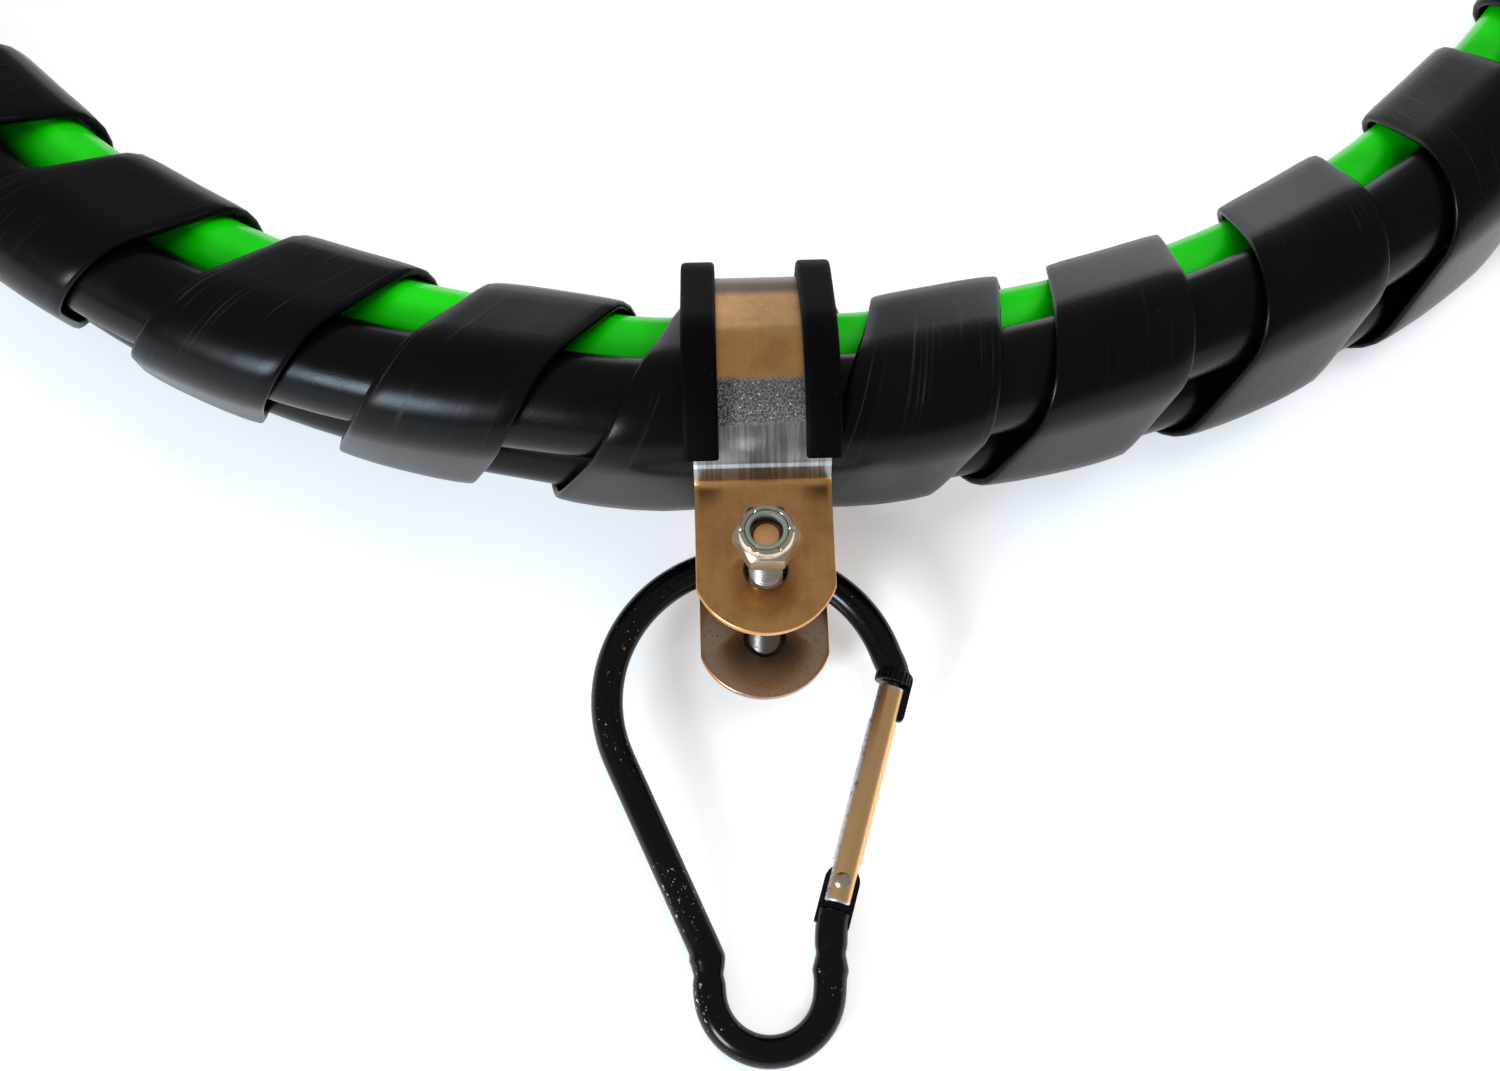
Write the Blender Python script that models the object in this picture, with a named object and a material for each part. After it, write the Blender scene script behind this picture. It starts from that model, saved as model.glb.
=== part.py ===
"""Air and power line bundle: two rubber air hoses and one electrical cable in a spiral wrap.

The bundle lies flat in one loop with its two ends put away along the back.  A rubber-lined
P-clamp holds it at mid-length, and a pear-shaped carabiner hangs on the clamp's bolt.

Working frame: metres, +Z up from the floor.  The clamp's middle is at x = 0, the bundle's
middle there is at y = 0, and the carabiner points along -Y.  A root empty carries everything,
so that the finished part has its origin at the middle of its footprint.
"""
import math

import bmesh
import bpy
import numpy as np
from mathutils import Matrix, Vector

# ---------------------------------------------------------------- driving sizes
CLEARANCE = 0.0003               # between pieces that touch on the real product

HOSE_DIAMETER = 0.01905          # 3/8 in air hose, outside
HOSE_BORE = 0.0095
CABLE_DIAMETER = 0.0150
LINE_GAP = 0.0003                # between neighbouring lines in the bundle
BUNDLE_LEAN = math.radians(6.0)  # the two hoses stand one over the other, leaning forward

LINE_LENGTH = 2.37               # along the bundle, from line end to line end
LOOP_RADIUS = 0.220              # front half of the loop
LEFT_BACK_RADIUS = 0.200         # bends on the way back
LEFT_BACK_ANGLE = math.radians(97)
LEFT_TAIL_RADIUS = 0.140
LEFT_TAIL_ANGLE = math.radians(93)
RIGHT_BACK_RADIUS = 0.220
RIGHT_BACK_ANGLE = math.radians(90)
RIGHT_TAIL_RADIUS = 0.300
RIGHT_TAIL_ANGLE = math.radians(32)
END_LENGTH = 0.125               # straight stretch at each end
EASING = 0.080                   # length over which one bend passes into the next
CHORD_COUNT = 75                 # stations of the route less one; odd, so one lies at the clamp
ROUTE_STEPS = 7900               # fine steps for the route's shape
FAN_SPACING = 0.038              # between the parted lines at their ends
FAN_LENGTH = 0.200               # length over which they part
FAN_DROP_START = 0.35            # share of that run passed before the upper hose comes down
CLAMP_EASING = 0.120             # length over which the bundle rises to the clamp
TWIST = math.radians(8)          # beside the clamp: more lean on the left, less on the right
TWIST_LENGTH = 0.085             # length over which it grows
TWIST_END = 0.170                # from the clamp to where it begins to fade
TWIST_FADE = 0.130               # length over which it fades

WRAP_LENGTH = 0.835              # from the clamp, each way along the bundle
WRAP_PITCH = 0.0437
WRAP_WIDTH = 0.0265              # along the bundle
WRAP_GAP = 0.0018                # from the lines to the wrap's inner corners
WRAP_WALL = 0.0013
WRAP_POINTS = 10                 # per turn
WRAP_PHASE = 0.0204              # a turn's middle crosses the bundle's front about here
WRAP_SQUEEZE = 0.0065            # the turns on each side are pushed this far towards the clamp
SQUEEZE_START = -1.2             # turns from the clamp where that begins
SQUEEZE_TURNS = 2.9
WRAP_FLOOR_GAP = 0.0002

STRAP_WIDTH = 0.0245
STRAP_THICKNESS = 0.0015
EAR_GAP = 0.0346                 # between the middles of the two ears
LOWER_EAR_HEIGHT = 0.0066        # middle of the lower ear above the floor
BEND_RADIUS = 0.0020             # middle of the strap, where an ear leaves the loop
EAR_LENGTH = 0.0120              # from the hole's middle to the tip
EAR_END_RADIUS = 0.0130
HOLE_Y = -0.0365                 # bolt axis
HOLE_RADIUS = 0.0038

CUSHION_PLAY = 0.0007            # from the wrap to the rubber
CUSHION_BASE = 0.0015            # rubber under the strap
CUSHION_LIP = 0.0028             # rubber over the strap's edges
CUSHION_SIDE = 0.0014            # rubber beside the strap
LIP_REACH = 0.0046               # how far a lip covers the strap
CUSHION_SETBACK = math.radians(22)  # the rubber stops this far before an ear's bend

BOLT_RADIUS = 0.0030
BOLT_HEAD_ACROSS = 0.0100        # across flats
BOLT_HEAD_HEIGHT = 0.0040
NUT_STANDOFF = 0.0115            # the nut is only started on the bolt's end
NUT_ACROSS = 0.0100
NUT_HEX_HEIGHT = 0.0044
NUT_COLLAR_HEIGHT = 0.0016
NUT_COLLAR_RADIUS = 0.0046
NUT_COLLAR_WALL = 0.0006
BOLT_IN_NUT = 0.0033
INSERT_HEIGHT = 0.0012
INSERT_BORE = 0.0028

ROD_DIAMETER = 0.0060
RING_RADIUS = 0.0270             # wide end, to the middle of the rod
TOE_RADIUS = 0.0108              # narrow end, to the middle of the rod
TOE_DISTANCE = 0.0536            # from the wide end's middle to the narrow end's
ARM_ANGLE = math.radians(21.3)   # long arm, from the carabiner's length
RING_X = -0.0030                 # middle of the wide end
RING_Y = -0.0492
RING_REST = 0.0009               # from the rod to the lower ear
RING_YAW = math.radians(1.95)    # swing at rest
TOE_REST = 0.0002                # from the rod to the floor
GATE_DIAMETER = 0.0053
GATE_WALL = 0.0011
GATE_TOP = (0.0265, 0.0006)      # the gate's ends, from the wide end's middle
GATE_FOOT = (0.0131, -0.0391)
GATE_PIN_INSET = 0.0041
GATE_FOOT_GAP = 0.0011           # lets the gate's foot swing past the body
GATE_TOP_GAP = 0.0005
COLLAR_LENGTH = 0.0025           # straight ends of the rod, in line with the gate
TONGUE_THICKNESS = 0.0018
TONGUE_WIDTH = 0.0066
NOSE_LENGTH = 0.0062
NOSE_LIP = 0.0004                # how far the nose's tongue stands out beyond the foot's
PIN_RADIUS = 0.0012
PIN_HEAD = 0.0002                # how far the pin stands out of the gate

SLEEVE_LENGTH = 0.040
SLEEVE_RADIUS = 0.0126
SLEEVE_TIP = 0.0112
FERRULE_LENGTH = 0.028
FERRULE_RADIUS = 0.0122
FERRULE_WALL = 0.0025            # closed end
STEM_BORE = 0.0032
STEM_DEPTH = 0.022               # length inside the hose
STEM_NECK = 0.0050
STEM_FLANGE_RADIUS = 0.0076
STEM_FLANGE = 0.0024
SWIVEL_ACROSS = 0.0222
SWIVEL_HEX_LENGTH = 0.0125
SWIVEL_LIP = 0.0020
SWIVEL_GAP = 0.0005              # along the axis, on both sides of the lip
THREAD_RADIUS = 0.0104
THREAD_LENGTH = 0.0160
THREAD_TAPER = 0.0005

PLUG_RADIUS = 0.0215
PLUG_WALL = 0.0030
PLUG_LENGTH = 0.062              # wide part
PLUG_SHOULDER = 0.006
PLUG_NECK_RADIUS = 0.0150
PLUG_NECK_LENGTH = 0.012
PLUG_CABLE_DEPTH = 0.008         # the cable ends this far inside the neck
KEY_WIDTH = 0.006
KEY_HEIGHT = 0.0020
KEY_LENGTH = 0.040
BLOCK_LENGTH = 0.028             # insulating block that carries the terminals
BLOCK_RECESS = 0.022             # from the plug's mouth to the block
TERMINAL_CIRCLE = 0.0115
TERMINAL_RADIUS = 0.0026
TERMINAL_OUT = 0.014             # how far a terminal stands out of the block
TERMINAL_COUNT = 6               # round the middle one
GLAND_LENGTH = 0.013
GLAND_ACROSS = 0.0260
BOOT_LENGTH = 0.042
BOOT_RADIUS = 0.0112
BOOT_TIP = 0.0095

LINE_SIDES = 8                   # faces round each hose and the cable
ROD_SIDES = 10
GATE_SIDES = 16
SMALL_SIDES = 12                 # bolt, nut, pin and hose ends
PLUG_SIDES = 24
TERMINAL_SIDES = 8

FOOTPRINT_MIDDLE = (-0.05036, 0.28600)  # from the clamp to the middle of the footprint

# ---------------------------------------------------------------- sizes that follow
HOSE_RADIUS = HOSE_DIAMETER / 2
CABLE_RADIUS = CABLE_DIAMETER / 2
WRAP_OUT = WRAP_GAP + WRAP_WALL
CUSHION_IN = WRAP_OUT + CUSHION_PLAY
STRAP_IN = CUSHION_IN + CUSHION_BASE + CLEARANCE
STRAP_MID = STRAP_IN + STRAP_THICKNESS / 2
LIP_IN = STRAP_IN + STRAP_THICKNESS + CLEARANCE
LIP_OUT = LIP_IN + CUSHION_LIP
UPPER_EAR_HEIGHT = LOWER_EAR_HEIGHT + EAR_GAP
CHORD = LINE_LENGTH / CHORD_COUNT
FITTING_HEIGHT = max(SLEEVE_RADIUS, FERRULE_RADIUS, SWIVEL_ACROSS / math.sqrt(3))
ROD_RADIUS = ROD_DIAMETER / 2
GATE_RADIUS = GATE_DIAMETER / 2


# ---------------------------------------------------------------- the scene
def clear():
    """Remove every object, so that the script starts from nothing."""
    for old in list(bpy.data.objects):
        bpy.data.objects.remove(old, do_unlink=True)


def empty(name, parent=None, matrix=None):
    """An empty that pieces hang from."""
    made = bpy.data.objects.new(name, None)
    bpy.context.scene.collection.objects.link(made)
    made.parent = parent
    if matrix is not None:
        made.matrix_local = matrix
    return made


def material(name, colour, roughness, metallic=0.0):
    """A Principled material, made once for each name."""
    made = bpy.data.materials.get(name)
    if made:
        return made
    made = bpy.data.materials.new(name)
    made.use_nodes = True
    shader = made.node_tree.nodes["Principled BSDF"]
    shader.inputs["Base Color"].default_value = (*colour, 1.0)
    shader.inputs["Roughness"].default_value = roughness
    shader.inputs["Metallic"].default_value = metallic
    return made


def hose_rubber():
    return material("hose_rubber", (0.010, 0.010, 0.011), 0.45)


def cable_green():
    return material("cable_green", (0.006, 0.42, 0.006), 0.22)


def wrap_plastic():
    return material("wrap_plastic", (0.009, 0.009, 0.011), 0.35)


def cushion_rubber():
    return material("cushion_rubber", (0.012, 0.012, 0.013), 0.60)


def clamp_steel():
    return material("clamp_steel", (0.55, 0.47, 0.38), 0.30, 1.0)


def bolt_steel():
    return material("bolt_steel", (0.62, 0.60, 0.58), 0.25, 1.0)


def insert_nylon():
    return material("insert_nylon", (0.22, 0.25, 0.22), 0.40)


def black_aluminium():
    return material("black_aluminium", (0.008, 0.008, 0.008), 0.18)


def gate_aluminium():
    return material("gate_aluminium", (0.62, 0.52, 0.42), 0.30, 1.0)


def brass():
    return material("brass", (0.62, 0.44, 0.16), 0.30, 1.0)


def plug_plastic():
    return material("plug_plastic", (0.014, 0.014, 0.015), 0.50)


def keep(name, mesh, look, parent, place=None):
    """Wrap a mesh in an object of its own, shaded smooth with sharp edges kept."""
    mesh.shade_smooth()
    mesh.set_sharp_from_angle(angle=math.radians(35))
    mesh.materials.append(look)
    made = bpy.data.objects.new(name, mesh)
    bpy.context.scene.collection.objects.link(made)
    made.parent = parent
    if place is not None:
        made.matrix_local = place
    return made


def solid(name, build, look, parent, place=None):
    """An object from a function that fills a bmesh; its faces are turned outward."""
    work = bmesh.new()
    build(work)
    bmesh.ops.recalc_face_normals(work, faces=work.faces)
    mesh = bpy.data.meshes.new(name)
    work.to_mesh(mesh)
    work.free()
    return keep(name, mesh, look, parent, place)


def cutter(name, build, parent, place=None):
    """A solid that only shapes another: hidden, and drawn as wire."""
    made = solid(name, build, material("cutter", (0.5, 0.5, 0.5), 1.0), parent, place)
    made.hide_render = True
    made.display_type = "WIRE"
    return made


def combine(body, tool, operation):
    """Cut, keep or join with a Boolean."""
    change = body.modifiers.new(operation.lower() + "_" + tool.name, "BOOLEAN")
    change.operation = operation
    change.solver = "EXACT"
    change.object = tool


# ---------------------------------------------------------------- shapes
def sweep(work, rings):
    """A closed solid through rings of points, all of one size."""
    rows = [[work.verts.new(point) for point in ring] for ring in rings]
    for near, far in zip(rows, rows[1:]):
        for side in range(len(near)):
            after = (side + 1) % len(near)
            work.faces.new((near[side], near[after], far[after], far[side]))
    work.faces.new(rows[0])
    work.faces.new(list(reversed(rows[-1])))


def hexagon_reach(across, angle):
    """From a hexagon's middle to its outline."""
    sector = math.radians(60)
    return across / 2 / math.cos((angle % sector) - sector / 2)


def lathe(work, profile, sides):
    """Turn a closed profile round the Z axis.

    A row is (height, radius), or (height, width, "hex") for a hexagon of that width
    across flats.  A profile that starts and ends on the axis is filled there.
    """
    rows = []
    for height, size, *form in profile:
        if size == 0:
            rows.append([work.verts.new((0, 0, height))])
            continue
        row = []
        for count in range(sides):
            angle = math.tau * count / sides
            reach = hexagon_reach(size, angle) if form else size
            row.append(work.verts.new((reach * math.cos(angle), reach * math.sin(angle), height)))
        rows.append(row)
    closed = len(rows[0]) > 1
    pairs = list(zip(rows, rows[1:]))
    if closed:
        pairs.append((rows[-1], rows[0]))
    for near, far in pairs:
        for side in range(sides):
            after = (side + 1) % sides
            corners = {near[side % len(near)]: None, near[after % len(near)]: None,
                       far[after % len(far)]: None, far[side % len(far)]: None}
            work.faces.new(list(corners))


def prism(work, outline, low, high):
    """A flat outline, raised from one height to another."""
    sweep(work, [[(x, y, height) for x, y in outline] for height in (low, high)])


def box(work, low, high):
    """A box between two corners."""
    outline = [(low[0], low[1]), (high[0], low[1]), (high[0], high[1]), (low[0], high[1])]
    prism(work, outline, low[2], high[2])


def arc(middle, radius, start, end, count):
    """Points on an arc in a plane, both ends included."""
    angles = np.linspace(start, end, count)
    return [(middle[0] + radius * math.cos(angle), middle[1] + radius * math.sin(angle))
            for angle in angles]


def tube(name, points, radius, sides, look, parent):
    """A round tube through points: a curve with a bevel and filled caps."""
    curve = bpy.data.curves.new(name, "CURVE")
    curve.dimensions = "3D"
    curve.bevel_depth = radius
    curve.bevel_resolution = (sides - 4) // 2
    curve.use_fill_caps = True
    line = curve.splines.new("POLY")
    line.points.add(len(points) - 1)
    for spot, point in zip(line.points, points):
        spot.co = (*point, 1.0)
    curve.materials.append(look)
    made = bpy.data.objects.new(name, curve)
    bpy.context.scene.collection.objects.link(made)
    made.parent = parent
    return made


def solid_tube(name, points, radius, sides, look, parent):
    """A round tube as a mesh, for what has to be cut or joined."""
    curve = tube(name + "_line", points, radius, sides, look, parent)
    mesh = bpy.data.meshes.new_from_object(curve)
    bpy.data.objects.remove(curve, do_unlink=True)
    mesh.materials.clear()
    work = bmesh.new()
    work.from_mesh(mesh)
    bmesh.ops.remove_doubles(work, verts=work.verts, dist=CLEARANCE / 100)
    bmesh.ops.recalc_face_normals(work, faces=work.faces)
    work.to_mesh(mesh)
    work.free()
    mesh.name = name
    return keep(name, mesh, look, parent)


# ---------------------------------------------------------------- the bundle's section
def bundle_section():
    """The middles of the lines, (inward, up) from the bundle's middle.

    The hoses stand one over the other and the cable lies against both, inside the loop.
    The bundle's middle is that of the circle which touches all three from outside.
    """
    half = HOSE_RADIUS + LINE_GAP / 2
    reach = HOSE_RADIUS + CABLE_RADIUS + LINE_GAP
    depth = math.sqrt(reach ** 2 - half ** 2)
    across = depth + CABLE_RADIUS - HOSE_RADIUS
    shift = (across ** 2 - half ** 2) / (2 * across)
    turn = Matrix.Rotation(BUNDLE_LEAN, 2)
    return {"hose_upper": turn @ Vector((-shift, half)),
            "hose_lower": turn @ Vector((-shift, -half)),
            "power_cable": turn @ Vector((depth - shift, 0.0))}


SECTION = bundle_section()
RADII = {"hose_upper": HOSE_RADIUS, "hose_lower": HOSE_RADIUS, "power_cable": CABLE_RADIUS}
CLAMP_MIDDLE = HOSE_RADIUS + LIP_OUT - SECTION["hose_lower"].y
LYING_MIDDLE = HOSE_RADIUS + WRAP_OUT + WRAP_FLOOR_GAP - SECTION["hose_lower"].y


def hull_point(angle):
    """A point and normal on the outline round the three lines, at one normal direction."""
    normal = Vector((math.cos(angle), math.sin(angle)))
    line = max(SECTION, key=lambda name: SECTION[name].dot(normal) + RADII[name])
    return SECTION[line] + RADII[line] * normal, normal


# ---------------------------------------------------------------- the route
def smooth_step(value):
    """0 to 1 with level ends."""
    value = min(max(value, 0.0), 1.0)
    return value * value * (3 - 2 * value)


def bend_runs():
    """(length, curvature) of each stretch, from the left end to the right end."""
    half = LINE_LENGTH / 2 - LOOP_RADIUS * math.pi / 2 - END_LENGTH
    left = [(LEFT_TAIL_RADIUS * LEFT_TAIL_ANGLE, 1 / LEFT_TAIL_RADIUS),
            (LEFT_BACK_RADIUS * LEFT_BACK_ANGLE, 1 / LEFT_BACK_RADIUS)]
    right = [(RIGHT_BACK_RADIUS * RIGHT_BACK_ANGLE, 1 / RIGHT_BACK_RADIUS),
             (RIGHT_TAIL_RADIUS * RIGHT_TAIL_ANGLE, 1 / RIGHT_TAIL_RADIUS)]
    left_side = half - sum(length for length, _ in left)
    right_side = half - sum(length for length, _ in right)
    return [(END_LENGTH, 0.0), *left, (left_side, 0.0), (LOOP_RADIUS * math.pi, 1 / LOOP_RADIUS),
            (right_side, 0.0), *right, (END_LENGTH, 0.0)]


def plan_route():
    """Distances along the bundle from the clamp, with x, y and heading at each."""
    runs = bend_runs()
    step = LINE_LENGTH / ROUTE_STEPS
    marks = (np.arange(ROUTE_STEPS) + 0.5) * step
    index = np.searchsorted(np.cumsum([run[0] for run in runs]), marks)
    bend = np.array([run[1] for run in runs])[np.minimum(index, len(runs) - 1)]
    window = int(EASING / step) | 1
    eased = np.convolve(np.pad(bend, window // 2), np.ones(window) / window, "valid")
    heading = np.concatenate([[0.0], np.cumsum(eased) * step])
    heading -= heading[ROUTE_STEPS // 2]
    middle = (heading[1:] + heading[:-1]) / 2
    x = np.concatenate([[0.0], np.cumsum(np.cos(middle)) * step])
    y = np.concatenate([[0.0], np.cumsum(np.sin(middle)) * step])
    along = np.linspace(-LINE_LENGTH / 2, LINE_LENGTH / 2, ROUTE_STEPS + 1)
    return along, x - x[ROUTE_STEPS // 2], y - y[ROUTE_STEPS // 2], heading


ROUTE = plan_route()


def rise(distance):
    """Height of the bundle's middle: it lies on the floor and rises to the clamp."""
    share = 1 - smooth_step((abs(distance) - CHORD / 2) / CLAMP_EASING)
    return LYING_MIDDLE + (CLAMP_MIDDLE - LYING_MIDDLE) * share


def twist(distance):
    """How far the section is turned about the bundle's middle."""
    grown = smooth_step((abs(distance) - CHORD / 2) / TWIST_LENGTH)
    left = 1 - smooth_step((abs(distance) - TWIST_END) / TWIST_FADE)
    return -math.copysign(TWIST * grown * left, distance)


def stations():
    """One frame for each station: distance, place of the middle, inward direction."""
    found = []
    for distance in np.linspace(-LINE_LENGTH / 2, LINE_LENGTH / 2, CHORD_COUNT + 1):
        x, y, heading = (float(np.interp(distance, ROUTE[0], values)) for values in ROUTE[1:])
        inward = Vector((-math.sin(heading), math.cos(heading), 0.0))
        found.append((float(distance), Vector((x, y, rise(distance))), inward))
    straighten_clamp(found)
    return found


def straighten_clamp(found):
    """Square the two stations beside the clamp to it, so that the bundle is straight there."""
    for index in (CHORD_COUNT // 2, CHORD_COUNT // 2 + 1):
        distance, place, inward = found[index]
        found[index] = (distance, Vector((distance, 0.0, place.z)), Vector((0.0, 1.0, 0.0)))


STATIONS = stations()


def bundle_point(distance, inward, up):
    """A point of the bundle's section, at a distance along the bundle from the clamp."""
    position = (distance + LINE_LENGTH / 2) / CHORD
    index = min(max(int(position), 0), CHORD_COUNT - 1)
    ends = []
    for along, place, across in STATIONS[index:index + 2]:
        turned = Matrix.Rotation(twist(along), 2) @ Vector((inward, up))
        ends.append(place + across * turned.x + Vector((0.0, 0.0, turned.y)))
    return ends[0].lerp(ends[1], position - index)


def parted(name, distance):
    """Where a line lies in the section, given that the lines part towards the ends."""
    home = SECTION[name]
    height = {"power_cable": PLUG_RADIUS}.get(name, FITTING_HEIGHT) - LYING_MIDDLE
    order = {"power_cable": 2, "hose_upper": 1, "hose_lower": 0}
    if distance > 0:
        order = {"power_cable": 0, "hose_lower": -1, "hose_upper": -2}
    travelled = (abs(distance) - (LINE_LENGTH / 2 - END_LENGTH - FAN_LENGTH)) / FAN_LENGTH
    aside = smooth_step(travelled)
    down = smooth_step((travelled - FAN_DROP_START) / (1 - FAN_DROP_START))
    inward = home.x + (order[name] * FAN_SPACING - home.x) * aside
    return inward, home.y + (height - home.y) * down


def line_points(name):
    """The stations of one line."""
    return [bundle_point(distance, *parted(name, distance)) for distance, _, _ in STATIONS]


def line_end(name, side):
    """Frame at a line's end: +Z runs on along the line, +X is up."""
    points = line_points(name)
    tip, before = (points[-1], points[-2]) if side > 0 else (points[0], points[1])
    forward = (tip - before)
    forward.z = 0.0
    forward.normalize()
    up = Vector((0.0, 0.0, 1.0))
    frame = Matrix((up, forward.cross(up), forward)).transposed().to_4x4()
    frame.translation = tip
    return frame


# ---------------------------------------------------------------- lines and wrap
def make_hose(name, root):
    """One air hose, with a short bore at each end for the fitting's stem."""
    hose = solid_tube(name, line_points(name), HOSE_RADIUS, LINE_SIDES, hose_rubber(), root)
    for side in (-1, 1):
        bore = cutter(f"bore_{name}_{side}", hose_bore, root, line_end(name, side))
        combine(hose, bore, "DIFFERENCE")


def hose_bore(work):
    """The bore at the end of a hose."""
    deep = STEM_DEPTH + CLEARANCE
    reach = HOSE_BORE / 2
    lathe(work, [(-deep, 0), (-deep, reach), (deep, reach), (deep, 0)], SMALL_SIDES)


def make_cable(root):
    """The green electrical cable."""
    tube("power_cable", line_points("power_cable"), CABLE_RADIUS, LINE_SIDES, cable_green(), root)


def wrap_middle(turns):
    """Where the strip's middle lies along the bundle, at a number of turns from the clamp."""
    share = smooth_step((turns - SQUEEZE_START) / SQUEEZE_TURNS)
    return WRAP_PHASE + WRAP_PITCH * turns + WRAP_SQUEEZE * (1 - 2 * share)


def wrap_ring(count):
    """The wrap's section at one step of its turns: three points inside, three outside."""
    turns = count / WRAP_POINTS
    edge, normal = hull_point(math.pi - math.tau * turns)
    middle = wrap_middle(turns)
    corners = []
    for reach, sides in ((WRAP_GAP, (-1, 0, 1)), (WRAP_OUT, (1, 0, -1))):
        spot = edge + normal * reach
        for side in sides:
            corners.append(bundle_point(middle + side * WRAP_WIDTH / 2, spot.x, spot.y))
    return corners


def make_wrap(root):
    """The spiral wrap: one flat strip wound round the lines in open turns."""
    turns = WRAP_LENGTH / WRAP_PITCH
    first = math.ceil(-(turns + WRAP_PHASE / WRAP_PITCH) * WRAP_POINTS)
    last = math.floor((turns - WRAP_PHASE / WRAP_PITCH) * WRAP_POINTS)
    rings = [wrap_ring(count) for count in range(first, last + 1)]
    gap = least_gap(rings)
    print(f"spiral wrap: {(last - first) / WRAP_POINTS:.1f} turns, "
          f"least gap between turns {gap * 1000:.2f} mm")
    solid("spiral_wrap", lambda work: sweep(work, rings), wrap_plastic(), root)


def least_gap(rings):
    """The least distance between one edge of the strip and the facing edge a turn on."""
    least = math.inf
    for near, far in zip(rings, rings[WRAP_POINTS:]):
        for right, left in ((near[2], far[0]), (near[3], far[5])):
            least = min(least, (left - right).length)
    return least


# ---------------------------------------------------------------- the clamp
def loop_angles():
    """Normal directions where the strap leaves the upper and the lower hose for its ears."""
    reach = HOSE_RADIUS + STRAP_MID + BEND_RADIUS
    upper, lower = ear_heights()
    up = upper + BEND_RADIUS - SECTION["hose_upper"].y
    down = lower - BEND_RADIUS - SECTION["hose_lower"].y
    return math.pi - math.asin(up / reach), -math.pi + math.asin(-down / reach)


def ear_heights():
    """Middles of the two ears, from the bundle's middle at the clamp."""
    return UPPER_EAR_HEIGHT - CLAMP_MIDDLE, LOWER_EAR_HEIGHT - CLAMP_MIDDLE


def shared_normal(first, second, side):
    """Normal direction of the straight stretch that touches two neighbouring lines."""
    across = SECTION[second] - SECTION[first]
    swing = math.acos((RADII[first] - RADII[second]) / across.length)
    return math.atan2(across.y, across.x) + side * swing


def round_the_lines(setback, step):
    """Outline points and normals from the upper hose, round the back, to the lower hose."""
    start, end = loop_angles()
    top = shared_normal("hose_upper", "power_cable", 1)
    bottom = shared_normal("hose_lower", "power_cable", -1)
    spans = (("hose_upper", start - setback, top), ("power_cable", top, bottom),
             ("hose_lower", bottom, end + setback))
    found = []
    for line, first, last in spans:
        count = math.ceil(abs(last - first) / step) + 1
        for angle in np.linspace(first, last, count):
            normal = Vector((math.cos(angle), math.sin(angle)))
            found.append((SECTION[line] + RADII[line] * normal, normal))
    return found


def fillet(hose, start, end, height):
    """Outline points and normals of a bend whose middle lies outside the loop."""
    away = -1 if height < 0 else 1
    contact = Vector((math.cos(start), math.sin(start)))
    middle = SECTION[hose] + contact * (HOSE_RADIUS + STRAP_MID + BEND_RADIUS)
    found = []
    for angle in np.linspace(start, end, 5):
        normal = Vector((math.cos(angle), math.sin(angle)))
        found.append((middle - normal * (BEND_RADIUS + STRAP_MID), normal))
    flat = Vector((0.0, away))
    tip = Vector((HOLE_Y - EAR_LENGTH, height - away * STRAP_MID))
    return found, (tip, flat)


def strap_track():
    """Outline points and normals of the whole strap, from ear tip to ear tip."""
    start, end = loop_angles()
    upper, lower = ear_heights()
    top, top_tip = fillet("hose_upper", start, math.pi / 2, upper)
    bottom, bottom_tip = fillet("hose_lower", end, -math.pi / 2, lower)
    loop = round_the_lines(0.0, math.radians(11))
    return [top_tip, *reversed(top), *loop[1:-1], *bottom, bottom_tip]


def clamp_point(x, edge, normal, reach):
    """A point of the clamp, at a distance outside the lines."""
    spot = edge + normal * reach
    return Vector((x, spot.x, spot.y + CLAMP_MIDDLE))


def make_strap(root):
    """The steel strap with its two round-ended ears."""
    half = STRAP_WIDTH / 2
    track = strap_track()
    outside = STRAP_IN + STRAP_THICKNESS
    rings = [[clamp_point(x, *spot, reach) for x, reach in
              ((-half, STRAP_IN), (half, STRAP_IN), (half, outside), (-half, outside))]
             for spot in track]
    strap = solid("clamp_strap", lambda work: sweep(work, rings), clamp_steel(), root)
    combine(strap, cutter("ear_outline", ear_outline, root), "INTERSECT")
    combine(strap, cutter("ear_holes", ear_holes, root), "DIFFERENCE")


def ear_outline(work):
    """The strap's outline from above: straight sides and one round end."""
    half = STRAP_WIDTH / 2 + CLEARANCE
    middle = HOLE_Y - EAR_LENGTH + EAR_END_RADIUS
    spread = math.asin(min(half / EAR_END_RADIUS, 1.0))
    front = arc((0.0, middle), EAR_END_RADIUS, -math.pi / 2 - spread, -math.pi / 2 + spread, 13)
    back = 2 * (HOSE_DIAMETER + CABLE_DIAMETER)
    high = UPPER_EAR_HEIGHT + 2 * HOSE_DIAMETER
    prism(work, [*front, (half, back), (-half, back)], -HOSE_DIAMETER, high)


def ear_holes(work):
    """One upright cutter for both holes."""
    low, high = -STRAP_THICKNESS, UPPER_EAR_HEIGHT + STRAP_THICKNESS
    outline = arc((0.0, HOLE_Y), HOLE_RADIUS, 0.0, math.tau * 15 / 16, 16)
    prism(work, outline, low, high)


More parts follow.
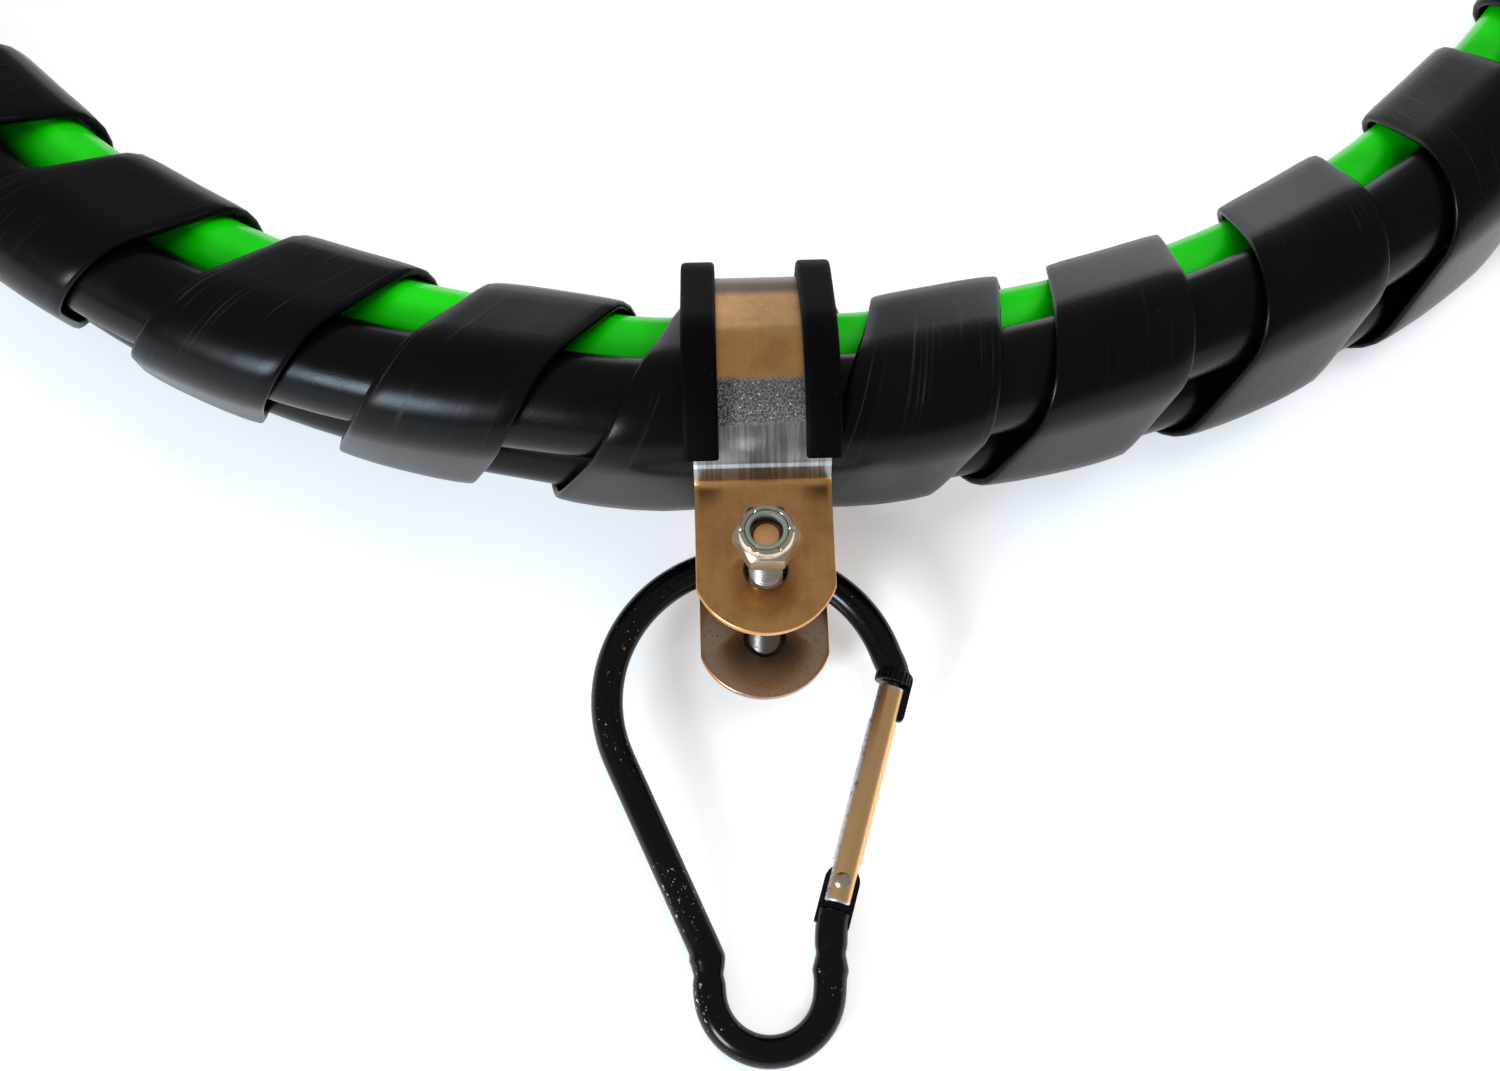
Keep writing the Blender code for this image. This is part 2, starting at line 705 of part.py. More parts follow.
def make_cushion(root):
    """The rubber channel round the strap's edges, open over its middle."""
    inner = STRAP_WIDTH / 2 + CLEARANCE
    outer = inner + CUSHION_SIDE
    lip = STRAP_WIDTH / 2 - LIP_REACH
    floor = CUSHION_IN + CUSHION_BASE
    section = [(-outer, CUSHION_IN), (outer, CUSHION_IN), (outer, LIP_OUT), (lip, LIP_OUT),
               (lip, LIP_IN), (inner, LIP_IN), (inner, floor), (-inner, floor),
               (-inner, LIP_IN), (-lip, LIP_IN), (-lip, LIP_OUT), (-outer, LIP_OUT)]
    rings = [[clamp_point(x, *spot, reach) for x, reach in section]
             for spot in round_the_lines(CUSHION_SETBACK, math.radians(13))]
    solid("clamp_cushion", lambda work: sweep(work, rings), cushion_rubber(), root)


def bolt_place():
    """The bolt's axis."""
    return Matrix.Translation((0.0, HOLE_Y, 0.0))


def make_bolt(root):
    """The bolt: hexagon head under the lower ear, shank up through both ears."""
    under = LOWER_EAR_HEIGHT - STRAP_THICKNESS / 2 - CLEARANCE
    top = nut_seat() + BOLT_IN_NUT
    head = BOLT_HEAD_ACROSS
    chamfer = BOLT_RADIUS / 5
    rows = [(under - BOLT_HEAD_HEIGHT, 0), (under - BOLT_HEAD_HEIGHT, head, "hex"),
            (under, head, "hex"), (under, BOLT_RADIUS), (top - chamfer, BOLT_RADIUS),
            (top, BOLT_RADIUS - chamfer), (top, 0)]
    solid("clamp_bolt", lambda work: lathe(work, rows, SMALL_SIDES), bolt_steel(), root,
          bolt_place())


def nut_seat():
    """Underside of the nut, above the upper ear."""
    return UPPER_EAR_HEIGHT + STRAP_THICKNESS / 2 + NUT_STANDOFF


def make_nut(root):
    """The lock nut, with a round collar that holds a nylon ring."""
    bore = BOLT_RADIUS + CLEARANCE
    pocket = NUT_COLLAR_RADIUS - NUT_COLLAR_WALL
    low = nut_seat()
    shelf = low + NUT_HEX_HEIGHT
    top = shelf + NUT_COLLAR_HEIGHT
    rows = [(low, bore), (low, NUT_ACROSS, "hex"), (shelf, NUT_ACROSS, "hex"),
            (shelf, NUT_COLLAR_RADIUS), (top, NUT_COLLAR_RADIUS), (top, pocket),
            (shelf, pocket), (shelf, bore)]
    solid("clamp_nut", lambda work: lathe(work, rows, SMALL_SIDES), bolt_steel(), root,
          bolt_place())
    seat = shelf + CLEARANCE
    ring = [(seat, INSERT_BORE), (seat, pocket - CLEARANCE),
            (seat + INSERT_HEIGHT, pocket - CLEARANCE), (seat + INSERT_HEIGHT, INSERT_BORE)]
    solid("nut_insert", lambda work: lathe(work, ring, SMALL_SIDES), insert_nylon(), root,
          bolt_place())


# ---------------------------------------------------------------- the carabiner
def carabiner_plane():
    """Frame of the carabiner: origin in the middle of its wide end, -Y towards its toe.

    Its rod lies over the lower ear at the back and over the floor at the toe.
    """
    back = LOWER_EAR_HEIGHT + STRAP_THICKNESS / 2 + RING_REST + ROD_RADIUS
    toe = TOE_REST + ROD_RADIUS
    tilt = math.asin((back - toe) / (RING_RADIUS + TOE_DISTANCE + TOE_RADIUS))
    height = back - RING_RADIUS * math.sin(tilt)
    place = Matrix.Translation((RING_X, RING_Y, height))
    return place @ Matrix.Rotation(tilt, 4, "X") @ Matrix.Rotation(RING_YAW, 4, "Z")


def gate_frame():
    """Frame of the gate: origin on its pin, +Y along the gate towards the nose."""
    along = gate_direction()
    pin = Vector(GATE_FOOT) + along * GATE_PIN_INSET
    turn = math.atan2(-along.x, along.y)
    return Matrix.Translation((pin.x, pin.y, 0.0)) @ Matrix.Rotation(turn, 4, "Z")


def gate_length():
    """From the gate's foot to its top."""
    return (Vector(GATE_TOP) - Vector(GATE_FOOT)).length


def gate_direction():
    """Unit vector along the gate, from its foot to its top."""
    return (Vector(GATE_TOP) - Vector(GATE_FOOT)).normalized()


def rod_line():
    """The rod's middle line in the carabiner's plane, from the nose round to the fork.

    Both ends run straight for a short way, in line with the gate that they meet.
    """
    along = gate_direction()
    nose = Vector(GATE_TOP) + along * GATE_TOP_GAP
    fork = Vector(GATE_FOOT) - along * GATE_FOOT_GAP
    nose_root = nose + along * COLLAR_LENGTH
    fork_root = fork - along * COLLAR_LENGTH
    start = math.atan2(nose_root.y + COLLAR_LENGTH, nose_root.x)
    ring = arc((0.0, 0.0), RING_RADIUS, start, math.pi + ARM_ANGLE, 21)
    knee_y = -(RING_RADIUS - TOE_RADIUS * math.cos(ARM_ANGLE)) / math.sin(ARM_ANGLE)
    toe_middle = Vector((0.0, -TOE_DISTANCE))
    lean = math.atan2(fork_root.x - TOE_RADIUS, fork_root.y + TOE_DISTANCE)
    toe = arc(toe_middle, TOE_RADIUS, -math.pi, -lean, 13)
    return [nose, nose_root, *ring, (-TOE_RADIUS, knee_y), *toe, fork_root, fork]


def make_carabiner(root):
    """The rod body with its nose and fork tongues, and the gate on its pin."""
    swing = empty("carabiner_swing", root, carabiner_plane())
    gate = empty("gate_swing", swing, gate_frame())
    points = [(spot[0], spot[1], 0.0) for spot in rod_line()]
    body = solid_tube("carabiner_body", points, ROD_RADIUS, ROD_SIDES, black_aluminium(), swing)
    combine(body, cutter("fork_tongue", fork_tongue, gate), "UNION")
    combine(body, cutter("nose_tongue", nose_tongue, gate), "UNION")
    combine(body, cutter("pin_hole", pin_hole, gate), "DIFFERENCE")
    make_gate(gate)


def fork_tongue(work):
    """The body's tongue inside the gate's foot: straight sides and a round end."""
    low = -GATE_PIN_INSET - GATE_FOOT_GAP - ROD_RADIUS
    wide = TONGUE_WIDTH / 2
    half = TONGUE_THICKNESS / 2
    round_end = arc((0.0, 0.0), wide, 0.0, math.pi, SMALL_SIDES)
    prism(work, [(-wide, low), (wide, low), *round_end], -half, half)


def nose_tongue(work):
    """The body's tongue at the nose, behind which the gate shuts."""
    top = gate_length() - GATE_PIN_INSET
    inner, outer = GATE_RADIUS / 2, TONGUE_WIDTH / 2 + NOSE_LIP
    low = top - NOSE_LENGTH
    half = TONGUE_THICKNESS / 2
    outline = [(inner, low), (outer, low), (outer, top + ROD_RADIUS), (inner, top + ROD_RADIUS)]
    prism(work, outline, -half, half)


def pin_hole(work):
    """The hole for the gate's pin, in the body and through the gate's walls."""
    deep = GATE_DIAMETER
    reach = PIN_RADIUS + CLEARANCE
    lathe(work, [(-deep, 0), (-deep, reach), (deep, reach), (deep, 0)], SMALL_SIDES)


def make_gate(frame):
    """The gate tube, slotted at both ends for the body's tongues, and its pin."""
    foot = -GATE_PIN_INSET
    top = foot + gate_length()
    bore = GATE_RADIUS - GATE_WALL
    rows = [(foot, bore), (foot, GATE_RADIUS), (top, GATE_RADIUS), (top, bore)]
    turned = Matrix.Rotation(-math.pi / 2, 4, "X")
    tube_piece = solid("gate_tube", lambda work: lathe(work, rows, GATE_SIDES), gate_aluminium(),
                       frame, turned)
    combine(tube_piece, cutter("gate_slots", gate_slots, frame), "DIFFERENCE")
    combine(tube_piece, cutter("gate_pin_hole", pin_hole, frame), "DIFFERENCE")
    tall = GATE_RADIUS + PIN_HEAD
    pin = [(-tall, 0), (-tall, PIN_RADIUS), (tall, PIN_RADIUS), (tall, 0)]
    solid("gate_pin", lambda work: lathe(work, pin, SMALL_SIDES), bolt_steel(), frame)


def gate_slots(work):
    """Slots in the plane of the carabiner, at both ends of the gate."""
    half = TONGUE_THICKNESS / 2 + CLEARANCE
    wide = GATE_DIAMETER
    foot = -GATE_PIN_INSET
    top = foot + gate_length()
    box(work, (-wide, foot - wide, -half), (wide, TONGUE_WIDTH / 2 + 2 * CLEARANCE, half))
    box(work, (-wide, top - NOSE_LENGTH - 2 * CLEARANCE, -half), (wide, top + wide, half))


# ---------------------------------------------------------------- hose ends
def clear_bore(radius, sides):
    """Radius at the corners of a bore whose flats clear a round piece in it."""
    return (radius + CLEARANCE) / math.cos(math.pi / sides)


def make_hose_end(name, side, root):
    """Bend sleeve, ferrule, stem and swivel fitting on one hose end."""
    label = name.replace("hose_", "") + ("_right" if side > 0 else "_left")
    frame = empty(f"end_{label}", root, line_end(name, side))
    make_sleeve(label, frame)
    make_ferrule(label, frame)
    make_stem(label, frame)
    make_swivel(label, frame)


def make_sleeve(label, frame):
    """Tapered rubber sleeve that keeps the hose from kinking at its fitting."""
    bore = clear_bore(HOSE_RADIUS, SMALL_SIDES)
    front = -FERRULE_LENGTH - CLEARANCE
    back = front - SLEEVE_LENGTH
    rows = [(back, bore), (back, SLEEVE_TIP), (front, SLEEVE_RADIUS), (front, bore)]
    solid(f"sleeve_{label}", lambda work: lathe(work, rows, SMALL_SIDES), cushion_rubber(), frame)


def make_ferrule(label, frame):
    """Crimped ferrule over the hose end, with a hole for the stem's neck."""
    bore = clear_bore(HOSE_RADIUS, SMALL_SIDES)
    hole = STEM_NECK + CLEARANCE
    face = CLEARANCE + FERRULE_WALL
    rows = [(-FERRULE_LENGTH, bore), (-FERRULE_LENGTH, FERRULE_RADIUS), (face, FERRULE_RADIUS),
            (face, hole), (CLEARANCE, hole), (CLEARANCE, bore)]
    solid(f"ferrule_{label}", lambda work: lathe(work, rows, SMALL_SIDES), brass(), frame)


def flange_back():
    """The near face of the stem's flange, from the hose end."""
    return CLEARANCE + FERRULE_WALL + SWIVEL_LIP + 2 * SWIVEL_GAP


def make_stem(label, frame):
    """Stem in the hose bore, with the neck and flange that the swivel turns on."""
    inside = HOSE_BORE / 2 - CLEARANCE
    near = flange_back()
    far = near + STEM_FLANGE
    rows = [(-STEM_DEPTH, STEM_BORE), (-STEM_DEPTH, inside), (CLEARANCE, inside),
            (CLEARANCE, STEM_NECK), (near, STEM_NECK), (near, STEM_FLANGE_RADIUS),
            (far, STEM_FLANGE_RADIUS), (far, STEM_BORE)]
    solid(f"stem_{label}", lambda work: lathe(work, rows, SMALL_SIDES), brass(), frame)


def make_swivel(label, frame):
    """Swivel fitting: a hexagon that turns on the stem, and a tapered pipe thread."""
    back = CLEARANCE + FERRULE_WALL + SWIVEL_GAP
    lip = back + SWIVEL_LIP
    cavity = flange_back() + STEM_FLANGE + SWIVEL_GAP
    shoulder = back + SWIVEL_HEX_LENGTH
    mouth = shoulder + THREAD_LENGTH
    neck = STEM_NECK + CLEARANCE
    room = STEM_FLANGE_RADIUS + CLEARANCE
    rows = [(back, neck), (back, SWIVEL_ACROSS, "hex"), (shoulder, SWIVEL_ACROSS, "hex"),
            (shoulder, THREAD_RADIUS), (mouth, THREAD_RADIUS - THREAD_TAPER),
            (mouth, HOSE_BORE / 2), (cavity, HOSE_BORE / 2), (cavity, room), (lip, room),
            (lip, neck)]
    solid(f"swivel_{label}", lambda work: lathe(work, rows, SMALL_SIDES), brass(), frame)


# ---------------------------------------------------------------- cable ends
def make_plug(side, root):
    """Boot, gland nut, shell, block and terminals on one cable end."""
    label = "right" if side > 0 else "left"
    frame = empty(f"end_plug_{label}", root, line_end("power_cable", side))
    make_boot(label, frame)
    make_gland(label, frame)
    make_shell(label, frame)
    make_block(label, frame)


def plug_back():
    """The rear face of the plug's neck, from the cable's end."""
    return -PLUG_CABLE_DEPTH


def make_boot(label, frame):
    """Tapered strain relief over the cable."""
    bore = clear_bore(CABLE_RADIUS, SMALL_SIDES)
    front = plug_back() - GLAND_LENGTH - 2 * CLEARANCE
    back = front - BOOT_LENGTH
    rows = [(back, bore), (back, BOOT_TIP), (front, BOOT_RADIUS), (front, bore)]
    solid(f"boot_{label}", lambda work: lathe(work, rows, SMALL_SIDES), cushion_rubber(), frame)


def make_gland(label, frame):
    """Gland nut behind the plug."""
    bore = clear_bore(CABLE_RADIUS, SMALL_SIDES)
    front = plug_back() - CLEARANCE
    rows = [(front - GLAND_LENGTH, bore), (front - GLAND_LENGTH, GLAND_ACROSS, "hex"),
            (front, GLAND_ACROSS, "hex"), (front, bore)]
    solid(f"gland_{label}", lambda work: lathe(work, rows, SMALL_SIDES), plug_plastic(), frame)


def plug_mouth():
    """The open end of the plug, from the cable's end."""
    return plug_back() + PLUG_NECK_LENGTH + PLUG_SHOULDER + PLUG_LENGTH


def make_shell(label, frame):
    """Plug shell: a neck round the cable, and a wide open front with a key on top."""
    bore = clear_bore(CABLE_RADIUS, PLUG_SIDES)
    back = plug_back()
    neck = back + PLUG_NECK_LENGTH
    wide = neck + PLUG_SHOULDER
    room = PLUG_RADIUS - PLUG_WALL
    floor = plug_mouth() - BLOCK_RECESS - BLOCK_LENGTH - CLEARANCE
    rows = [(back, bore), (back, PLUG_NECK_RADIUS), (neck, PLUG_NECK_RADIUS),
            (wide, PLUG_RADIUS), (plug_mouth(), PLUG_RADIUS), (plug_mouth(), room),
            (floor, room), (floor, bore)]
    shell = solid(f"plug_{label}", lambda work: lathe(work, rows, PLUG_SIDES), plug_plastic(),
                  frame)
    combine(shell, cutter(f"key_{label}", plug_key, frame), "UNION")


def plug_key(work):
    """The key along the top of the plug's wide part."""
    half = KEY_WIDTH / 2
    low = PLUG_RADIUS - PLUG_WALL / 2
    front = plug_mouth() - PLUG_WALL
    box(work, (low, -half, front - KEY_LENGTH), (PLUG_RADIUS + KEY_HEIGHT, half, front))


def terminal_places():
    """The middle terminal and those round it."""
    ring = arc((0.0, 0.0), TERMINAL_CIRCLE, 0.0,
               math.tau * (TERMINAL_COUNT - 1) / TERMINAL_COUNT, TERMINAL_COUNT)
    return [(0.0, 0.0), *ring]


def make_block(label, frame):
    """The insulating block inside the plug, with one terminal in each of its holes."""
    front = plug_mouth() - BLOCK_RECESS
    back = front - BLOCK_LENGTH
    reach = PLUG_RADIUS - PLUG_WALL - CLEARANCE
    rows = [(back, 0), (back, reach), (front, reach), (front, 0)]
    block = solid(f"block_{label}", lambda work: lathe(work, rows, PLUG_SIDES), plug_plastic(),
                  frame)
    for number, (x, y) in enumerate(terminal_places()):
        spot = Matrix.Translation((x, y, 0.0))
        hole = cutter(f"hole_{label}_{number}", terminal_hole, frame, spot)
        combine(block, hole, "DIFFERENCE")
        solid(f"terminal_{label}_{number}", terminal, brass(), frame, spot)


def terminal_hole(work):
    """A blind hole in the block."""
    mouth = plug_mouth()
    reach = TERMINAL_RADIUS + CLEARANCE
    deep = mouth - BLOCK_RECESS - BLOCK_LENGTH / 2
    lathe(work, [(deep, 0), (deep, reach), (mouth, reach), (mouth, 0)], TERMINAL_SIDES)


def terminal(work):
    """One round terminal."""
    reach = TERMINAL_RADIUS
    front = plug_mouth() - BLOCK_RECESS + TERMINAL_OUT
    back = plug_mouth() - BLOCK_RECESS - BLOCK_LENGTH / 2 + CLEARANCE
    lathe(work, [(back, 0), (back, reach), (front, reach), (front, 0)], TERMINAL_SIDES)


# ---------------------------------------------------------------- everything
def main():
    """Build the whole part."""
    clear()
    root = empty("root")
    root.location = (-FOOTPRINT_MIDDLE[0], -FOOTPRINT_MIDDLE[1], 0.0)
    make_hose("hose_upper", root)
    make_hose("hose_lower", root)
    make_cable(root)
    make_wrap(root)
    make_strap(root)
    make_cushion(root)
    make_bolt(root)
    make_nut(root)
    make_carabiner(root)
    for side in (-1, 1):
        make_hose_end("hose_upper", side, root)
        make_hose_end("hose_lower", side, root)
        make_plug(side, root)


main()
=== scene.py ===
"""Dressed scene of an air hose and power cable assembly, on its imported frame.

Two rubber air hoses and one electrical cable lie in a spiral wrap.  A rubber-lined P-clamp
holds them at mid-length, and a pear-shaped carabiner hangs on the clamp's bolt.  All sizes
are in metres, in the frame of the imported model.
"""
import logging
import math
from dataclasses import dataclass, field
from enum import Enum
from typing import Callable, Iterable, Sequence

import bmesh
import bpy
import numpy as np
from mathutils import Matrix, Vector


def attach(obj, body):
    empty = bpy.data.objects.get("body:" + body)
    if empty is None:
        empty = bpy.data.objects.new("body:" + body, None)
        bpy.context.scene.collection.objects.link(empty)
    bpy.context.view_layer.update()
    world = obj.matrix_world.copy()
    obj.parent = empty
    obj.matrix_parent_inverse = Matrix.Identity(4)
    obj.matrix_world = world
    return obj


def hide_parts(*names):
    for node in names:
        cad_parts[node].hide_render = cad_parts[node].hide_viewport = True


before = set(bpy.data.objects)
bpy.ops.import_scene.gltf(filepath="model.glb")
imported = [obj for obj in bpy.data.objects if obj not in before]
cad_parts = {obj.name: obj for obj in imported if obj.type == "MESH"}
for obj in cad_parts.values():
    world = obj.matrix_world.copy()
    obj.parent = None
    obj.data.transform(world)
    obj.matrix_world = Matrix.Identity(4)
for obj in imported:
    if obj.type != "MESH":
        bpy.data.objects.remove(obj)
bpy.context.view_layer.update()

LOG = logging.getLogger("air_line_bundle")
SHIFT = Vector((0.05036, -0.28600, 0.0))  # from the clamp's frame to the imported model's
CLEARANCE = 0.0003
LOWER_EAR = 0.0066       # middle of the clamp's lower ear above the floor
STRAP_THICKNESS = 0.0015
CUSHION_IN = 0.0038      # from the lines to the clamp's rubber
CUSHION_BASE = 0.0015    # rubber under the strap
CUSHION_LIP = 0.0028     # rubber over the strap's edges
WRAP_REACH = 0.0031      # from the lines to the wrap's outer corners
WRAP_FLOOR_GAP = 0.0002
MERGE = 1e-6             # vertices closer than this are one
CUT_MARGIN = 0.001       # how far a cutting form stands past what it cuts

Form = bmesh.types.BMesh
Colour = tuple[float, float, float, float]
Outline = list[tuple[float, float]]


class Slot(Enum):
    """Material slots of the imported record."""

    HOSE = "hose_rubber"
    CABLE = "cable_green"
    WRAP = "wrap_plastic"
    CUSHION = "cushion_rubber"
    CLAMP = "clamp_steel"
    BOLT = "bolt_steel"
    INSERT = "insert_nylon"
    CARABINER = "black_aluminium"
    GATE = "gate_aluminium"
    BRASS = "brass"
    PLUG = "plug_plastic"


class Side(Enum):
    """The two ends of the bundle, by the sign of the distance from the clamp."""

    LEFT = -1
    RIGHT = 1

    @property
    def label(self) -> str:
        """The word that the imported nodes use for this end."""
        return self.name.lower()


def rgb(red: int, green: int, blue: int) -> Colour:
    """Turn an 8-bit screen colour into a linear one.

    Args:
        red: Red, 0 to 255.
        green: Green, 0 to 255.
        blue: Blue, 0 to 255.

    Returns:
        The linear colour with full alpha.
    """
    parts = [channel / 255 for channel in (red, green, blue)]
    linear = [part / 12.92 if part <= 0.04045 else ((part + 0.055) / 1.055) ** 2.4
              for part in parts]
    return (linear[0], linear[1], linear[2], 1.0)


# ---------------------------------------------------------------- shader maths
class Value:
    """A shader socket that Python's operators work on."""

    def __init__(self, shader: "Shader", socket: bpy.types.NodeSocket) -> None:
        """Keep the socket and the shader that it belongs to."""
        self.shader = shader
        self.socket = socket

    def _maths(self, operation: str, first: "Value | float", second: "Value | float") -> "Value":
        """Add one Math node on two inputs."""
        return self.shader.node("ShaderNodeMath", {"operation": operation},
                                {0: first, 1: second})

    def __add__(self, other: "Value | float") -> "Value":
        """Sum."""
        return self._maths("ADD", self, other)

    def __radd__(self, other: float) -> "Value":
        """Sum, reflected."""
        return self._maths("ADD", other, self)

    def __sub__(self, other: "Value | float") -> "Value":
        """Difference."""
        return self._maths("SUBTRACT", self, other)

    def __rsub__(self, other: float) -> "Value":
        """Difference, reflected."""
        return self._maths("SUBTRACT", other, self)

    def __mul__(self, other: "Value | float") -> "Value":
        """Product."""
        return self._maths("MULTIPLY", self, other)

    def __rmul__(self, other: float) -> "Value":
        """Product, reflected."""
        return self._maths("MULTIPLY", other, self)


class Shader:
    """Builds one procedural material, node by node."""

    def __init__(self, name: str) -> None:
        """Start an empty node tree under this name.

        Args:
            name: The material's name.
        """
        self.material = bpy.data.materials.new(name)
        self.material.use_nodes = True
        self.tree = self.material.node_tree
        self.tree.nodes.clear()

    def node(self, kind: str, settings: dict | None = None, sockets: dict | None = None,
             output: int | str = 0) -> Value:
        """Add a node.

        Args:
            kind: The node's type.
            settings: Its settings, set before the sockets; "stops" fills a colour ramp.
            sockets: Values or links of its inputs, by name or number.
            output: The output to return.

        Returns:
            The chosen output as a value.
        """
        made = self.tree.nodes.new(kind)
        for key, setting in (settings or {}).items():
            if key == "stops":
                self._fill_ramp(made.color_ramp, setting)
            else:
                setattr(made, key, setting)
        for key, given in (sockets or {}).items():
            if isinstance(given, Value):
                self.tree.links.new(given.socket, made.inputs[key])
            else:
                made.inputs[key].default_value = given
        if not made.outputs:
            return Value(self, made.inputs[0])
        return Value(self, made.outputs[output])

    @staticmethod
    def _fill_ramp(ramp: bpy.types.ColorRamp, stops: Sequence[tuple[float, Colour]]) -> None:
        """Set a ramp's stops, from left to right.

        Args:
            ramp: The colour ramp.
            stops: Places and colours.
        """
        while len(ramp.elements) < len(stops):
            ramp.elements.new(1.0)
        for element, (place, colour) in zip(ramp.elements, stops):
            element.position = place
            element.color = colour

    def place(self) -> Value:
        """The point in the piece's own frame, from its "local" attribute."""
        return self.node("ShaderNodeAttribute", {"attribute_name": "local"}, output="Vector")

    def object_place(self) -> Value:
        """The point in Object coordinates, for the solids that are kept."""
        return self.node("ShaderNodeTexCoord", output="Object")

    def stretch(self, place: Value, factors: tuple[float, float, float]) -> Value:
        """Scale a point along each axis."""
        return self.node("ShaderNodeVectorMath", {"operation": "MULTIPLY"},
                         {0: place, 1: factors})

    def split(self, place: Value, axis: str) -> Value:
        """One coordinate of a point."""
        return self.node("ShaderNodeSeparateXYZ", None, {0: place}, axis)

    def noise(self, place: Value, scale: float, detail: float = 3.0,
              roughness: float = 0.55) -> Value:
        """Soft noise, 0 to 1.

        Args:
            place: Where it is read.
            scale: Cells per unit of place.
            detail: Octaves.
            roughness: Strength of the finer octaves.

        Returns:
            The noise value.
        """
        return self.node("ShaderNodeTexNoise", {"noise_dimensions": "3D"},
                         {"Vector": place, "Scale": scale, "Detail": detail,
                          "Roughness": roughness})

    def step(self, value: Value, low: float, high: float) -> Value:
        """Smooth step from 0 at low to 1 at high."""
        return self.node("ShaderNodeMapRange", {"interpolation_type": "SMOOTHSTEP"},
                         {"Value": value, "From Min": low, "From Max": high})

    def fall(self, value: Value, low: float, high: float) -> Value:
        """Smooth step from 1 at low to 0 at high."""
        return 1.0 - self.step(value, low, high)

    def length(self, place: Value) -> Value:
        """Distance of a point from the origin."""
        return self.node("ShaderNodeVectorMath", {"operation": "LENGTH"}, {0: place}, "Value")

    def mix(self, factor: Value | float, first: "Value | Colour",
            second: "Value | Colour") -> Value:
        """Blend two colours."""
        return self.node("ShaderNodeMix", {"data_type": "RGBA"},
                         {0: factor, 6: first, 7: second}, 2)

    def bump(self, height: Value, depth: float, strength: float = 1.0) -> Value:
        """A normal from a height, with the depth in metres.

        Args:
            height: The height.
            depth: The depth of a height of one.
            strength: The share of it that shows.

        Returns:
            The normal.
        """
        return self.node("ShaderNodeBump", None,
                         {"Height": height, "Distance": depth, "Strength": strength},
                         "Normal")

    def surface(self, sockets: dict) -> bpy.types.Material:
        """Close the tree with a Principled shader.

        Args:
            sockets: Its inputs, by name.

        Returns:
            The finished material.
        """
        shader = self.node("ShaderNodeBsdfPrincipled", None, sockets)
        self.node("ShaderNodeOutputMaterial", None, {"Surface": shader})
        return self.material


# ---------------------------------------------------------------- finishes
@dataclass(frozen=True)
class Finish:
    """A finish: a procedural material with the slot of the record that it stands for."""

    name: str
    slot: Slot

    def material(self) -> bpy.types.Material:
        """The material, made once for each name."""
        return bpy.data.materials.get(self.name) or self.paint(Shader(self.name))

    def paint(self, shader: Shader) -> bpy.types.Material:
        """Fill the shader and return its material."""
        raise NotImplementedError


@dataclass(frozen=True)
class Rubber(Finish):
    """Dull rubber with a fine grain, rubbed patches and a little dust.

    Attributes:
        colour: Clean rubber.
        dust: What lies on it.
        dusty: Share of the dust at its thickest.
        matt: Roughness of the clean rubber.
        ior: Refractive index; a low one keeps the flanks dark.
        along: Which axis its faint drawn lines follow, as stretch factors.
    """

    colour: Colour = rgb(5, 5, 6)
    dust: Colour = rgb(58, 57, 56)
    dusty: float = 0.20
    matt: float = 0.48
    ior: float = 1.08
    along: tuple[float, float, float] = (1.0, 1.0, 1.0)

    def paint(self, shader: Shader) -> bpy.types.Material:
        """Fill the shader and return its material.

        Args:
            shader: The shader to fill.

        Returns:
            The finished material.
        """
        place = shader.place()
        grain = shader.noise(place, 2600.0, 2.0)
        patches = shader.step(shader.noise(place, 70.0, 4.0), 0.45, 0.75)
        drawn = shader.noise(shader.stretch(place, self.along), 900.0, 3.0)
        scuffs = shader.step(drawn, 0.62, 0.78) * patches
        specks = shader.step(shader.noise(place, 1500.0, 2.0), 0.735, 0.76)
        cover = (patches * 0.4 + scuffs) * self.dusty + specks * 0.35
        tone = shader.mix(cover, self.colour, self.dust)
        rough = self.matt + patches * 0.10 + grain * 0.08
        relief = shader.bump(grain + drawn * 0.6, 0.00004, 0.5)
        return shader.surface({"Base Color": tone, "Roughness": rough, "Normal": relief,
                               "Specular IOR Level": 1.0, "IOR": self.ior})


